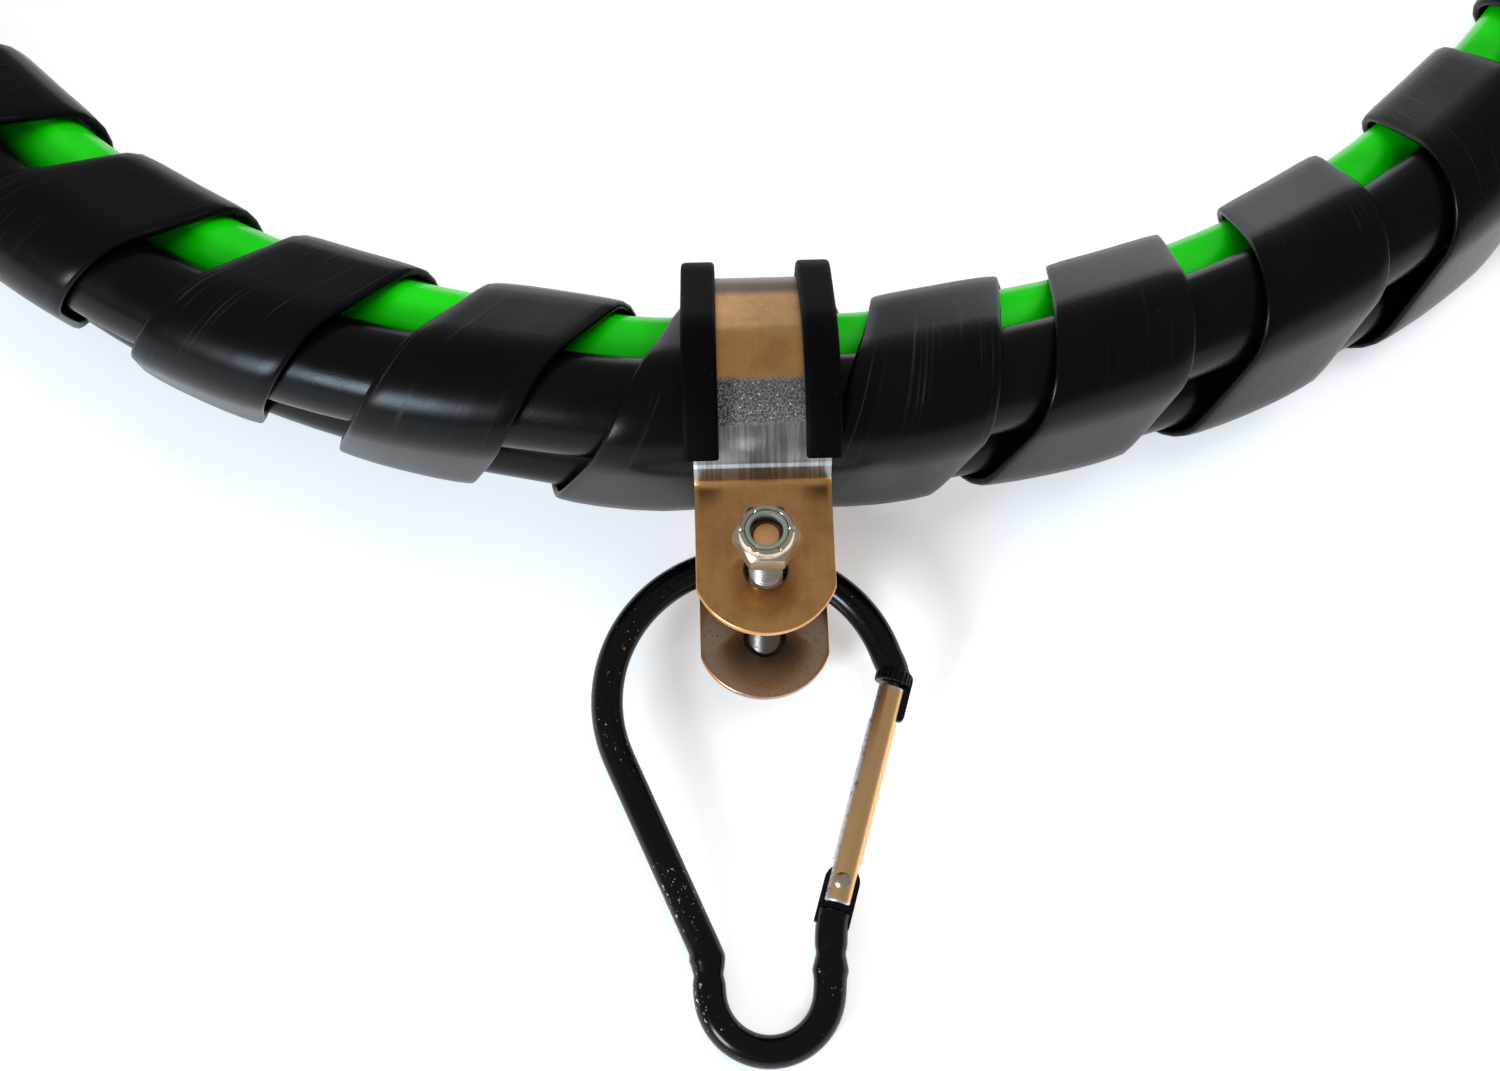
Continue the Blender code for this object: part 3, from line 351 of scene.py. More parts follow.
@dataclass(frozen=True)
class Moulded(Finish):
    """Extruded or moulded plastic with scratches along one way.

    Attributes:
        colour: Main colour.
        deep: Colour in the darker patches.
        scratch: Colour of a scratch.
        gloss: Roughness of the clean plastic.
        ior: Refractive index; a low one keeps the flanks dark.
        across: Stretch factors that draw the scratches out.
        scratched: Strength of the scratches.
        grain: Depth of the moulded grain.
    """

    colour: Colour = rgb(13, 13, 15)
    deep: Colour = rgb(8, 8, 9)
    scratch: Colour = rgb(60, 63, 70)
    gloss: float = 0.33
    ior: float = 1.35
    across: tuple[float, float, float] = (1.0, 1.0, 1.0)
    scratched: float = 0.5
    grain: float = 0.00001

    def paint(self, shader: Shader) -> bpy.types.Material:
        """Fill the shader and return its material.

        Args:
            shader: The shader to fill.

        Returns:
            The finished material.
        """
        place = shader.place()
        clouds = shader.noise(place, 38.0, 4.0)
        fine = shader.noise(place, 1500.0, 2.0)
        drawn = shader.noise(shader.stretch(place, self.across), 60.0, 4.0, 0.6)
        patches = shader.step(shader.noise(place, 55.0, 3.0), 0.42, 0.66)
        marks = shader.step(drawn, 0.56, 0.70) * patches * self.scratched
        nicks = shader.step(shader.noise(place, 520.0, 3.0, 0.7), 0.70, 0.72) * patches
        tone = shader.mix(shader.step(clouds, 0.3, 0.7), self.deep, self.colour)
        tone = shader.mix(marks + nicks * self.scratched, tone, self.scratch)
        rough = self.gloss + clouds * 0.14 + marks * 0.25 + fine * 0.04
        relief = shader.bump(fine * 0.5 + drawn - marks - nicks, self.grain, 0.6)
        return shader.surface({"Base Color": tone, "Roughness": rough, "Normal": relief,
                               "Specular IOR Level": 1.0, "IOR": self.ior})


@dataclass(frozen=True)
class WornMetal(Finish):
    """Bare or plated metal with drawn lines, stains and pits.

    Attributes:
        colour: Clean metal.
        stain: Colour of the stained patches.
        stained: Strength of the stains.
        polish: Roughness of the clean metal.
        drawn: Stretch factors of the drawn lines.
        pitted: Strength of the pits.
        depth: Depth of the drawn lines and pits.
    """

    colour: Colour = rgb(196, 188, 178)
    stain: Colour = rgb(128, 98, 70)
    stained: float = 0.5
    polish: float = 0.24
    drawn: tuple[float, float, float] = (1.0, 1.0, 1.0)
    pitted: float = 0.6
    depth: float = 0.00003

    def paint(self, shader: Shader) -> bpy.types.Material:
        """Fill the shader and return its material.

        Args:
            shader: The shader to fill.

        Returns:
            The finished material.
        """
        place = shader.place()
        lines = shader.noise(shader.stretch(place, self.drawn), 300.0, 4.0, 0.65)
        clouds = shader.step(shader.noise(place, 120.0, 5.0, 0.6), 0.38, 0.68)
        speck = shader.noise(place, 2300.0, 3.0, 0.6)
        pits = shader.step(speck, 0.60, 0.72) * self.pitted
        tone = shader.mix(clouds * self.stained, self.colour, self.stain)
        tone = shader.mix(pits, tone, rgb(58, 48, 42))
        rough = self.polish + clouds * 0.12 + lines * 0.14 + pits * 0.25
        metal = 1.0 - pits * 0.35
        relief = shader.bump(lines * 0.7 - pits, self.depth, 0.7)
        return shader.surface({"Base Color": tone, "Roughness": rough, "Metallic": metal,
                               "Normal": relief})


@dataclass(frozen=True)
class StrapMetal(Finish):
    """Satin strap steel, pitted over the loop, with painted highlights, reflection and shade.

    Attributes:
        colour: The satin ears and the top of the loop.
        shade: Colour of the stained patches.
        bare: Colour of the stretch past the bend, a painted reflection of the front light.
        bend: Distance along the strap of the upper ear's bend.
        bright: Middle of the painted highlight line along the bend.
        streaked: Where the streaks of the bending tool end.
        pitted: Where the pits end, and the painted reflection with them.
        painted_shade_start: Where the painted shade over the top of the loop begins.
        far_ear: Where the back of the loop begins, with the lower ear beyond, which carries
            painted shade.
        length: Length of the whole strap.
        end_radius: Radius of its round ends.
        polish: Roughness.
    """

    colour: Colour = rgb(234, 176, 112)
    shade: Colour = rgb(156, 106, 62)
    bare: Colour = rgb(166, 166, 164)
    bend: float = 0.0300
    bright: float = 0.0336
    streaked: float = 0.0410
    pitted: float = 0.0484
    painted_shade_start: float = 0.0725
    far_ear: float = 0.0950
    length: float = 0.1811
    end_radius: float = 0.0130
    polish: float = 0.27

    def paint(self, shader: Shader) -> bpy.types.Material:
        """Fill the shader and return its material.

        Args:
            shader: The shader to fill.

        Returns:
            The finished material.
        """
        place = shader.place()
        along = shader.split(place, "Y")
        ragged = along + shader.noise(place, 420.0, 3.0, 0.7) * 0.0022 - 0.0011
        fine = shader.noise(place, 2600.0, 3.0, 0.65)
        clouds = shader.step(shader.noise(place, 150.0, 4.0, 0.6), 0.40, 0.72)
        drawn = shader.noise(shader.stretch(place, (1.0, 0.05, 1.0)), 1500.0, 3.0, 0.6)
        past_bend = shader.step(along, self.bend, self.bend + 0.0004)
        # The stretch past the bend: its grey colour is a painted reflection of the front light;
        # the pits and tool streaks in it are real wear.
        rubbed = past_bend * shader.fall(ragged, self.pitted, self.pitted + 0.0016)
        streaks = rubbed * shader.fall(ragged, self.streaked, self.streaked + 0.0008)
        # Painted highlight: a bluish-white line along the upper ear's bend.
        bright = (shader.step(along, self.bright - 0.0006, self.bright - 0.0003)
                  * shader.fall(along, self.bright + 0.0003, self.bright + 0.0006))
        pits = (rubbed - streaks) * shader.step(fine, 0.42, 0.54)
        # Painted glints: white specks in the painted reflection past the bend.
        painted_glints = (rubbed - streaks) * shader.step(shader.noise(place, 1700.0, 3.0, 0.7),
                                                  0.64, 0.68)
        # Painted shade: the top of the loop, which faces away from the light, is darkened.
        painted_shade_top = shader.step(ragged, self.painted_shade_start, self.painted_shade_start + 0.004)
        far = shader.step(along, self.far_ear, self.far_ear + 0.001)
        freckles = shader.step(shader.noise(place, 1300.0, 3.0, 0.6), 0.62, 0.68)
        ear = shader.node("ShaderNodeVectorMath", {"operation": "SUBTRACT"},
                          {0: place, 1: (0.0, self.length - self.end_radius, 0.0)})
        reach = shader.length(ear)
        # Painted highlight: a golden rim light round the lower ear's round end.
        rim = shader.step(reach, self.end_radius - 0.0014, self.end_radius - 0.0007) * far
        tone = shader.mix(clouds * 0.35 + drawn * 0.25, self.colour, self.shade)
        # Painted shade over the top of the loop.
        tone = shader.mix(painted_shade_top * (1.0 - far) * 0.9, tone, rgb(52, 32, 18))
        # Painted shade: the lower ear is toned greyer and darker than the upper ear.
        tone = shader.mix(far * 0.75, tone, rgb(172, 158, 142))
        tone = shader.mix(freckles * (0.20 + far * 0.5), tone, rgb(62, 48, 38))
        # Painted rim highlight on the lower ear.
        tone = shader.mix(rim * 0.8, tone, rgb(190, 124, 66))
        # Painted reflection of the front light on the stretch past the bend.
        tone = shader.mix(rubbed, tone, self.bare)
        # Painted highlight along the bend.
        tone = shader.mix(bright, tone, rgb(226, 232, 240))
        tone = shader.mix((streaks - bright * 0.3) * shader.step(drawn, 0.40, 0.58) * 0.5, tone,
                          rgb(84, 80, 76))
        tone = shader.mix(pits * 0.9, tone, rgb(46, 42, 42))
        # Painted glints.
        tone = shader.mix(painted_glints, tone, rgb(246, 248, 252))
        rough = self.polish + fine * 0.10 + (pits + bright) * 0.25 - painted_glints * 0.15
        relief = shader.bump(fine * 0.4 + drawn * (0.3 + streaks) - pits * 0.8 + painted_glints,
                             0.00004, 0.6)
        # The painted shade over the loop's top is also made less metallic, as the pits are.
        return shader.surface({"Base Color": tone, "Roughness": rough,
                               "Metallic": 1.0 - pits * 0.4 - painted_shade_top * (1.0 - far) * 0.85,
                               "Normal": relief})


@dataclass(frozen=True)
class BoltEnd(WornMetal):
    """Plated steel whose cut end has rusted, with painted shade on the shank between the ears.

    Attributes:
        top: Height of the rusted end in the bolt's own frame.
        core: Radius below which the thread's roots carry painted shade.
        shaded: Height below which the shank, between the ears, carries painted shade.
    """

    top: float = 0.05675
    core: float = 0.00282
    shaded: float = 0.0395

    def paint(self, shader: Shader) -> bpy.types.Material:
        """Fill the shader and return its material.

        Args:
            shader: The shader to fill.

        Returns:
            The finished material.
        """
        place = shader.place()
        rim = shader.length(shader.stretch(place, (1.0, 1.0, 0.0)))
        # Painted shade in the thread's roots.
        roots = shader.fall(rim, self.core - 0.0002, self.core + 0.0002)
        rust = shader.step(shader.split(place, "Z"), self.top - 0.0006, self.top - 0.0003)
        speck = shader.noise(place, 1800.0, 4.0, 0.65)
        tone = shader.mix(shader.step(speck, 0.35, 0.7) * self.stained, self.colour, self.stain)
        # Painted shade on the shank between the ears, under the upper ear.
        painted_shade_shank = shader.fall(shader.split(place, "Z"), self.shaded, self.shaded + 0.001)
        tone = shader.mix(painted_shade_shank * 0.75, tone, rgb(84, 68, 54))
        # Painted shade in the thread's roots.
        tone = shader.mix(roots * 0.8, tone, rgb(52, 46, 42))
        tone = shader.mix(rust * 0.85, tone, rgb(220, 160, 100))
        tone = shader.mix(rust * shader.step(rim, 0.0020, 0.0023) * 0.8, tone, rgb(54, 38, 26))
        rough = self.polish + speck * 0.2 + rust * 0.2
        relief = shader.bump(speck, 0.00004, 0.6)
        return shader.surface({"Base Color": tone, "Roughness": rough,
                               "Metallic": 1.0 - rust * 0.4 - roots * 0.3, "Normal": relief})


@dataclass(frozen=True)
class Chipped(Finish):
    """Gloss black coat on light metal, chipped in small specks.

    Attributes:
        coat: The coat.
        bare: The metal under it.
        gloss: Roughness of the coat.
        ior: Its refractive index.
        chips: Strength of the chips.
    """

    coat: Colour = rgb(4, 4, 5)
    bare: Colour = rgb(222, 223, 226)
    gloss: float = 0.13
    ior: float = 1.20
    chips: float = 1.0

    def paint(self, shader: Shader) -> bpy.types.Material:
        """Fill the shader and return its material.

        Args:
            shader: The shader to fill.

        Returns:
            The finished material.
        """
        place = shader.place()
        fine = shader.noise(shader.stretch(place, (1.0, 0.7, 1.0)), 1300.0, 4.0, 0.7)
        patches = shader.noise(place, 90.0, 2.0)
        arm = (shader.fall(shader.split(place, "X"), -0.0125, -0.0100)
               * shader.step(0.0 - shader.split(place, "Y"), 0.026, 0.034))
        where = shader.step(patches + arm * 0.15, 0.50, 0.64)
        chip = shader.step(fine + arm * 0.03, 0.660, 0.672) * where * self.chips
        haze = shader.noise(place, 160.0, 4.0)
        tone = shader.mix(shader.step(haze, 0.4, 0.8) * 0.35, self.coat, rgb(10, 9, 9))
        tone = shader.mix(chip, tone, self.bare)
        rough = self.gloss + haze * 0.12 + chip * 0.2
        relief = shader.bump(haze * 0.3 - chip, 0.00006, 0.6)
        return shader.surface({"Base Color": tone, "Roughness": rough, "Metallic": chip,
                               "Normal": relief, "Specular IOR Level": 1.0, "IOR": self.ior})


@dataclass(frozen=True)
class RimmedTube(Finish):
    """Satin tube with bright cut rims and a worn, speckled edge.

    Attributes:
        colour: Middle of the tube.
        rim: The rims and the worn edge.
        low: Foot of the tube in its own frame.
        high: Top of the tube.
        polish: Roughness.
    """

    colour: Colour = rgb(248, 200, 142)
    rim: Colour = rgb(232, 232, 234)
    low: float = -0.0041
    high: float = 0.0378
    polish: float = 0.26

    def paint(self, shader: Shader) -> bpy.types.Material:
        """Fill the shader and return its material.

        Args:
            shader: The shader to fill.

        Returns:
            The finished material.
        """
        place = shader.place()
        along = shader.split(place, "Y")
        aside = shader.split(place, "X")
        ends = (shader.fall(along, self.low + 0.0004, self.low + 0.0008)
                + shader.step(along, self.high - 0.0008, self.high - 0.0004))
        drawn = shader.noise(shader.stretch(place, (1.0, 0.04, 1.0)), 900.0, 3.0)
        speck = shader.noise(place, 1300.0, 4.0, 0.7)
        edge = shader.fall(aside + speck * 0.0006, -0.0016, -0.0011)
        grey = edge * shader.step(speck, 0.40, 0.52)
        dark = edge * shader.step(shader.noise(place, 900.0, 4.0, 0.75), 0.56, 0.60)
        tone = shader.mix(drawn * 0.30, self.colour, rgb(176, 130, 88))
        tone = shader.mix(edge * 0.5 + grey * 0.4, tone, rgb(190, 190, 194))
        tone = shader.mix(dark * 0.7, tone, rgb(66, 62, 62))
        tone = shader.mix(ends * 0.9, tone, self.rim)
        rough = self.polish + drawn * 0.16 + grey * 0.12
        relief = shader.bump(drawn * 0.5 - dark * 0.6, 0.00003, 0.6)
        return shader.surface({"Base Color": tone, "Roughness": rough, "Metallic": 1.0,
                               "Normal": relief})


@dataclass(frozen=True)
class KeptSolid(Finish):
    """Plain finish in Object coordinates, for solids that stay as they are packed.

    Attributes:
        colour: Main colour.
        dark: Colour of its patches.
        metal: Metallic.
        matt: Roughness.
    """

    colour: Colour = rgb(30, 30, 32)
    dark: Colour = rgb(16, 16, 17)
    metal: float = 0.0
    matt: float = 0.45

    def paint(self, shader: Shader) -> bpy.types.Material:
        """Fill the shader and return its material.

        Args:
            shader: The shader to fill.

        Returns:
            The finished material.
        """
        place = shader.object_place()
        clouds = shader.noise(place, 160.0, 4.0)
        fine = shader.noise(place, 2200.0, 2.0)
        tone = shader.mix(shader.step(clouds, 0.35, 0.7), self.colour, self.dark)
        relief = shader.bump(fine, 0.00003, 0.5)
        return shader.surface({"Base Color": tone, "Roughness": self.matt + clouds * 0.15,
                               "Metallic": self.metal, "Normal": relief})


HOSE = Rubber("dressed_hose", Slot.HOSE, dust=rgb(44, 46, 50), dusty=0.08, matt=0.20,
              ior=1.15, along=(0.03, 1.0, 1.0))
CABLE = Moulded("dressed_cable", Slot.CABLE, colour=rgb(16, 230, 5), deep=rgb(6, 198, 2),
                scratch=rgb(120, 210, 100), gloss=0.16, ior=1.25, across=(0.3, 30.0, 30.0),
                scratched=0.12)
WRAP = Moulded("dressed_wrap", Slot.WRAP, colour=rgb(6, 6, 7), deep=rgb(3, 3, 4), gloss=0.18,
               ior=1.15, across=(0.25, 22.0, 1.0), scratched=0.45, grain=0.00002)
CUSHION = Rubber("dressed_cushion", Slot.CUSHION, dusty=0.10, matt=0.50)
SLEEVE = Rubber("dressed_sleeve", Slot.CUSHION, colour=rgb(11, 11, 12), matt=0.50, ior=1.2)
CLAMP = StrapMetal("dressed_clamp", Slot.CLAMP)
BOLT = BoltEnd("dressed_bolt", Slot.BOLT, colour=rgb(216, 210, 202), stain=rgb(160, 128, 98),
               polish=0.20)
NUT = WornMetal("dressed_nut", Slot.BOLT, colour=rgb(218, 204, 182), stain=rgb(160, 122, 84),
                stained=0.55, polish=0.10, drawn=(1.0, 1.0, 6.0), pitted=0.2, depth=0.00001)
INSERT = Moulded("dressed_insert", Slot.INSERT, colour=rgb(120, 130, 118), deep=rgb(92, 102, 92),
                 scratch=rgb(160, 168, 158), gloss=0.35, scratched=0.3, grain=0.00002)
COAT = Chipped("dressed_coat", Slot.CARABINER)
GATE = RimmedTube("dressed_gate", Slot.GATE)
PIN = WornMetal("dressed_pin", Slot.BOLT, colour=rgb(206, 192, 174), stain=rgb(120, 92, 68),
                polish=0.18, pitted=0.5)
BRASS = WornMetal("dressed_brass", Slot.BRASS, colour=rgb(212, 176, 98), stain=rgb(142, 104, 54),
                  stained=0.6, polish=0.22, drawn=(1.0, 1.0, 9.0), pitted=0.3)
PLUG = Moulded("dressed_plug", Slot.PLUG, colour=rgb(22, 22, 24), deep=rgb(15, 15, 16),
               scratch=rgb(70, 70, 74), gloss=0.42, ior=1.25, across=(1.0, 1.0, 12.0),
               scratched=0.35, grain=0.00005)
KEPT_BLOCK = KeptSolid("kept_block", Slot.PLUG)
KEPT_STEM = KeptSolid("kept_stem", Slot.BRASS, colour=rgb(206, 168, 92), dark=rgb(150, 112, 60),
                      metal=1.0, matt=0.26)


# ---------------------------------------------------------------- outlines and forms
def eased(outline: Outline, amount: float, steps: int = 3, closed: bool = True) -> Outline:
    """Round the corners of a flat outline.

    Args:
        outline: Its corners in order.
        amount: How far from each corner the rounding starts.
        steps: Pieces of each rounded corner.
        closed: Whether the last corner joins the first.

    Returns:
        The rounded outline.
    """
    points = [Vector(point) for point in outline]
    rounded: Outline = []
    for index, corner in enumerate(points):
        if not closed and index in (0, len(points) - 1):
            rounded.append((corner.x, corner.y))
            continue
        before, after = points[index - 1], points[(index + 1) % len(points)]
        near = corner.lerp(before, min(amount / (before - corner).length, 0.45))
        far = corner.lerp(after, min(amount / (after - corner).length, 0.45))
        for count in range(steps + 1):
            share = count / steps
            spot = near.lerp(corner, share).lerp(corner.lerp(far, share), share)
            rounded.append((spot.x, spot.y))
    return rounded


def arc(middle: tuple[float, float], radius: float, start: float, end: float,
        count: int) -> Outline:
    """Points on an arc.

    Args:
        middle: Its middle.
        radius: Its radius.
        start: First angle.
        end: Last angle.
        count: Number of points, both ends included.

    Returns:
        The points in order.
    """
    return [(middle[0] + radius * math.cos(angle), middle[1] + radius * math.sin(angle))
            for angle in np.linspace(start, end, count)]


def runs_along(points: np.ndarray) -> np.ndarray:
    """Distances run along a line of points, from the first one."""
    gaps = np.linalg.norm(np.diff(points, axis=0), axis=1)
    return np.concatenate([[0.0], np.cumsum(gaps)])


def read_along(run: np.ndarray, runs: np.ndarray, rows: np.ndarray) -> np.ndarray:
    """Read rows of two values between their runs."""
    return np.stack([np.interp(run, runs, rows[:, axis]) for axis in (0, 1)], 1)


def as_units(rows: np.ndarray) -> np.ndarray:
    """Scale every row to a length of 1."""
    return rows / np.linalg.norm(rows, axis=1)[:, None]


def corners_at(section: Outline, around: np.ndarray) -> tuple[np.ndarray, np.ndarray]:
    """Corners of a closed section at shares round it.

    Args:
        section: Its corners in order.
        around: Shares round it, 0 to 1, one for each corner.

    Returns:
        The corners' places across and outward.
    """
    ring = np.array(section + section[:1])
    corner = np.rint(around * len(section)).astype(int)
    return ring[corner, 0], ring[corner, 1]


def mark_local(work: Form) -> None:
    """Keep every vertex's place in the piece's own frame, for its material.

    Args:
        work: The form.
    """
    local = work.verts.layers.float_vector.new("local")
    for vert in work.verts:
        vert[local] = vert.co


def draw_in(vert: bmesh.types.BMVert, factor: float) -> None:
    """Scale a vertex's distance from the Z axis."""
    vert.co.x *= factor
    vert.co.y *= factor


def raise_faces(work: Form, height: float) -> None:
    """Extrude all faces of a form along Z.

    Args:
        work: The form.
        height: How far up the faces go.
    """
    raised = bmesh.ops.extrude_face_region(work, geom=work.faces[:])["geom"]
    bmesh.ops.translate(work, vec=(0, 0, height),
                        verts=[item for item in raised if isinstance(item, bmesh.types.BMVert)])


def as_mesh(work: Form, name: str) -> bpy.types.Mesh:
    """Write a form to a new mesh, and free it.

    Args:
        work: The form.
        name: The mesh's name.

    Returns:
        The mesh.
    """
    mesh = bpy.data.meshes.new(name)
    work.to_mesh(mesh)
    work.free()
    return mesh


def link(name: str, data: bpy.types.ID) -> bpy.types.Object:
    """Make an object of its data, in the scene.

    Args:
        name: The object's name.
        data: Its data.

    Returns:
        The object.
    """
    made = bpy.data.objects.new(name, data)
    bpy.context.scene.collection.objects.link(made)
    return made


def bisected(work: Form, place: tuple[float, float, float], normal: tuple[float, float, float],
             **clear: bool) -> None:
    """Cut all of a form along a plane."""
    bmesh.ops.bisect_plane(work, geom=work.verts[:] + work.edges[:] + work.faces[:],
                           plane_co=place, plane_no=normal, **clear)


def turned(profile: Outline, sides: int = 48, closed: bool = False) -> Form:
    """Spin a profile of (radius, height) about the Z axis.

    Args:
        profile: The profile; an open one starts and ends on the axis.
        sides: Steps of the spin.
        closed: Whether the profile is a closed ring, as of a tube.

    Returns:
        The closed form.
    """
    work = bmesh.new()
    verts = [work.verts.new((radius, 0.0, height)) for radius, height in profile]
    edges = [work.edges.new(pair) for pair in zip(verts, verts[1:])]
    if closed:
        edges.append(work.edges.new((verts[-1], verts[0])))
    bmesh.ops.spin(work, geom=verts + edges, cent=(0, 0, 0), axis=(0, 0, 1), angle=math.tau,
                   steps=sides, use_merge=True, use_duplicate=False)
    return tidy(work)


def tidy(work: Form, distance: float = MERGE, close: bool = False) -> Form:
    """Merge doubled vertices and turn the faces outward.

    Args:
        work: The form.
        distance: Vertices closer than this are merged.
        close: Whether open ends are filled.

    Returns:
        The same form.
    """
    bmesh.ops.remove_doubles(work, verts=work.verts, dist=distance)
    if close:
        bmesh.ops.holes_fill(work, edges=[edge for edge in work.edges if edge.is_boundary])
    bmesh.ops.recalc_face_normals(work, faces=work.faces)
    return work


def rolled(along: int, around: int, place: Callable[[np.ndarray, np.ndarray],
           tuple[np.ndarray, np.ndarray]]) -> Form:
    """Roll a grid into a tube or a strip with a closed section.

    Args:
        along: Faces along it.
        around: Faces round its section.
        place: Gives points and their "local" points from two shares, 0 to 1.

    Returns:
        The form, with its "local" layer.
    """
    work = bmesh.new()
    bmesh.ops.create_grid(work, x_segments=along, y_segments=around, size=0.5)
    local = work.verts.layers.float_vector.new("local")
    flat = np.array([vert.co for vert in work.verts])
    points, own = place(flat[:, 0] + 0.5, flat[:, 1] + 0.5)
    for vert, point, mark in zip(work.verts, points.tolist(), own.tolist()):
        vert.co = point
        vert[local] = mark
    return tidy(work, 2 * MERGE, close=True)


def plate(outline: Outline, low: float, high: float, ease: float = 0.0) -> Form:
    """Raise a flat outline and round its rims.

    Args:
        outline: Its corners in order.
        low: Height of its lower face.
        high: Height of its upper face.
        ease: Width of the rounded rims.

    Returns:
        The closed form.
    """
    work = bmesh.new()
    work.faces.new([work.verts.new((x, y, low)) for x, y in outline])
    raise_faces(work, high - low)
    tidy(work)
    return soften(work, ease) if ease else work


def soften(work: Form, width: float, segments: int = 2, least: float = 40.0) -> Form:
    """Bevel the edges that are sharper than an angle.

    Args:
        work: The form.
        width: Width of the bevel.
        segments: Its steps.
        least: The angle, in degrees.

    Returns:
        The same form.
    """
    sharp = [edge for edge in work.edges
             if edge.is_manifold and edge.calc_face_angle(0.0) > math.radians(least)]
    bmesh.ops.bevel(work, geom=sharp, offset=width, offset_type="OFFSET", segments=segments,
                    profile=0.5, affect="EDGES", material=-1, clamp_overlap=True)
    return work


def threaded(radius: float, depth: float, pitch: float, low: float, high: float,
             sides: int = 28, taper: float = 0.0) -> Form:
    """A threaded rod along Z: one tooth, spun up along its helix and cut off square.

    Args:
        radius: Radius over the crests.
        depth: Depth of the thread.
        pitch: Distance between crests.
        low: Height of its lower end.
        high: Height of its upper end.
        sides: Steps of one turn.
        taper: How much narrower the upper end is.

    Returns:
        The closed form.
    """
    work = bmesh.new()
    root = radius - depth
    tooth = [(root, 0.0), (root, 0.08), (radius, 0.44), (radius, 0.56), (root, 0.92), (root, 1.0)]
    turns = math.ceil((high - low) / pitch) + 2
    verts = [work.verts.new((reach, 0.0, low + (share - 2.0) * pitch)) for reach, share in tooth]
    edges = [work.edges.new(pair) for pair in zip(verts, verts[1:])]
    bmesh.ops.spin(work, geom=verts + edges, cent=(0, 0, 0), axis=(0, 0, 1),
                   dvec=(0, 0, pitch / sides), angle=math.tau * turns, steps=sides * turns,
                   use_merge=False, use_duplicate=False)
    bmesh.ops.remove_doubles(work, verts=work.verts, dist=MERGE)
    for height, below in ((low, True), (high, False)):
        bisected(work, (0, 0, height), (0, 0, 1), clear_inner=below, clear_outer=not below)
    bmesh.ops.holes_fill(work, edges=[edge for edge in work.edges if edge.is_boundary])
    for vert in work.verts:
        draw_in(vert, 1.0 - taper / radius * (vert.co.z - low) / (high - low))
    bmesh.ops.recalc_face_normals(work, faces=work.faces)
    return work


def hexagon(across: float, low: float, high: float) -> Form:
    """A hexagonal bar along Z.

    Args:
        across: Width across flats.
        low: Height of its lower end.
        high: Height of its upper end.

    Returns:
        The closed form.
    """
    work = bmesh.new()
    reach = across / math.sqrt(3)
    middle = Matrix.Translation((0, 0, (low + high) / 2))
    bmesh.ops.create_cone(work, cap_ends=True, segments=6, radius1=reach, radius2=reach,
                          depth=high - low,
                          matrix=middle @ Matrix.Rotation(math.radians(30), 4, "Z"))
    return work


def combined(first: Form, second: Form, operation: str) -> Form:
    """Cut, keep or join two closed forms with a Boolean, and free them.

    Args:
        first: The form that stays.
        second: The form that works on it.
        operation: INTERSECT, DIFFERENCE or UNION.

    Returns:
        The result.
    """
    objects = [link("work", as_mesh(form, "work")) for form in (first, second)]
    change = objects[0].modifiers.new("cut", "BOOLEAN")
    change.operation = operation
    change.solver = "EXACT"
    change.object = objects[1]
    graph = bpy.context.evaluated_depsgraph_get()
    result = bpy.data.meshes.new_from_object(objects[0].evaluated_get(graph))
    work = bmesh.new()
    work.from_mesh(result)
    for item in objects:
        mesh = item.data
        bpy.data.objects.remove(item, do_unlink=True)
        bpy.data.meshes.remove(mesh)
    bpy.data.meshes.remove(result)
    return tidy(work)


def joined(forms: Iterable[Form]) -> Form:
    """Gather several closed forms in one, and free them.

    Args:
        forms: The forms, each of them closed.

    Returns:
        The one form.
    """
    whole = bmesh.new()
    for form in forms:
        mesh = as_mesh(form, "work")
        whole.from_mesh(mesh)
        bpy.data.meshes.remove(mesh)
    return whole


def hexed(profile: Outline, across: float, low: float, high: float,
          closed: bool = True) -> Form:
    """Spin a profile about the Z axis and cut it to a hexagon, which chamfers its corners.

    Args:
        profile: The profile, as for turned().
        across: Width across flats.
        low: Height of its lower end.
        high: Height of its upper end.
        closed: Whether the profile is a closed ring.

    Returns:
        The closed form.
    """
    return combined(turned(profile, 96, closed),
                    hexagon(across, low - CUT_MARGIN, high + CUT_MARGIN), "INTERSECT")


def moved(work: Form, matrix: Matrix) -> Form:
    """Place a form in another frame."""
    bmesh.ops.transform(work, matrix=matrix, verts=work.verts)
    return work


def put(work: Form, node: str, look: str, finish: Finish, place: Matrix | None = None,
        sharp: float = 34.0, body: str = "bundle") -> bpy.types.Object:
    """Make a piece of a form: place it, dress it, and let it ride on its body.

    Args:
        work: The form, in its own frame; it is freed.
        node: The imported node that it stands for.
        look: The word that ends the piece's name.
        finish: Its finish.
        place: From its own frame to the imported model's.
        sharp: Edges above this angle stay sharp, in degrees.
        body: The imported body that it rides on.

    Returns:
        The piece.
    """
    name = f"{node}_{look}"
    if work.verts.layers.float_vector.get("local") is None:
        mark_local(work)
    if place is not None:
        moved(work, place)
    mesh = as_mesh(work, name)
    mesh.shade_smooth()
    mesh.set_sharp_from_angle(angle=math.radians(sharp))
    mesh.materials.append(finish.material())
    piece = link(name, mesh)
    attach(piece, body)
    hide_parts(node)
    LOG.info("%s on %s: %d faces", name, body, len(mesh.polygons))
    return piece


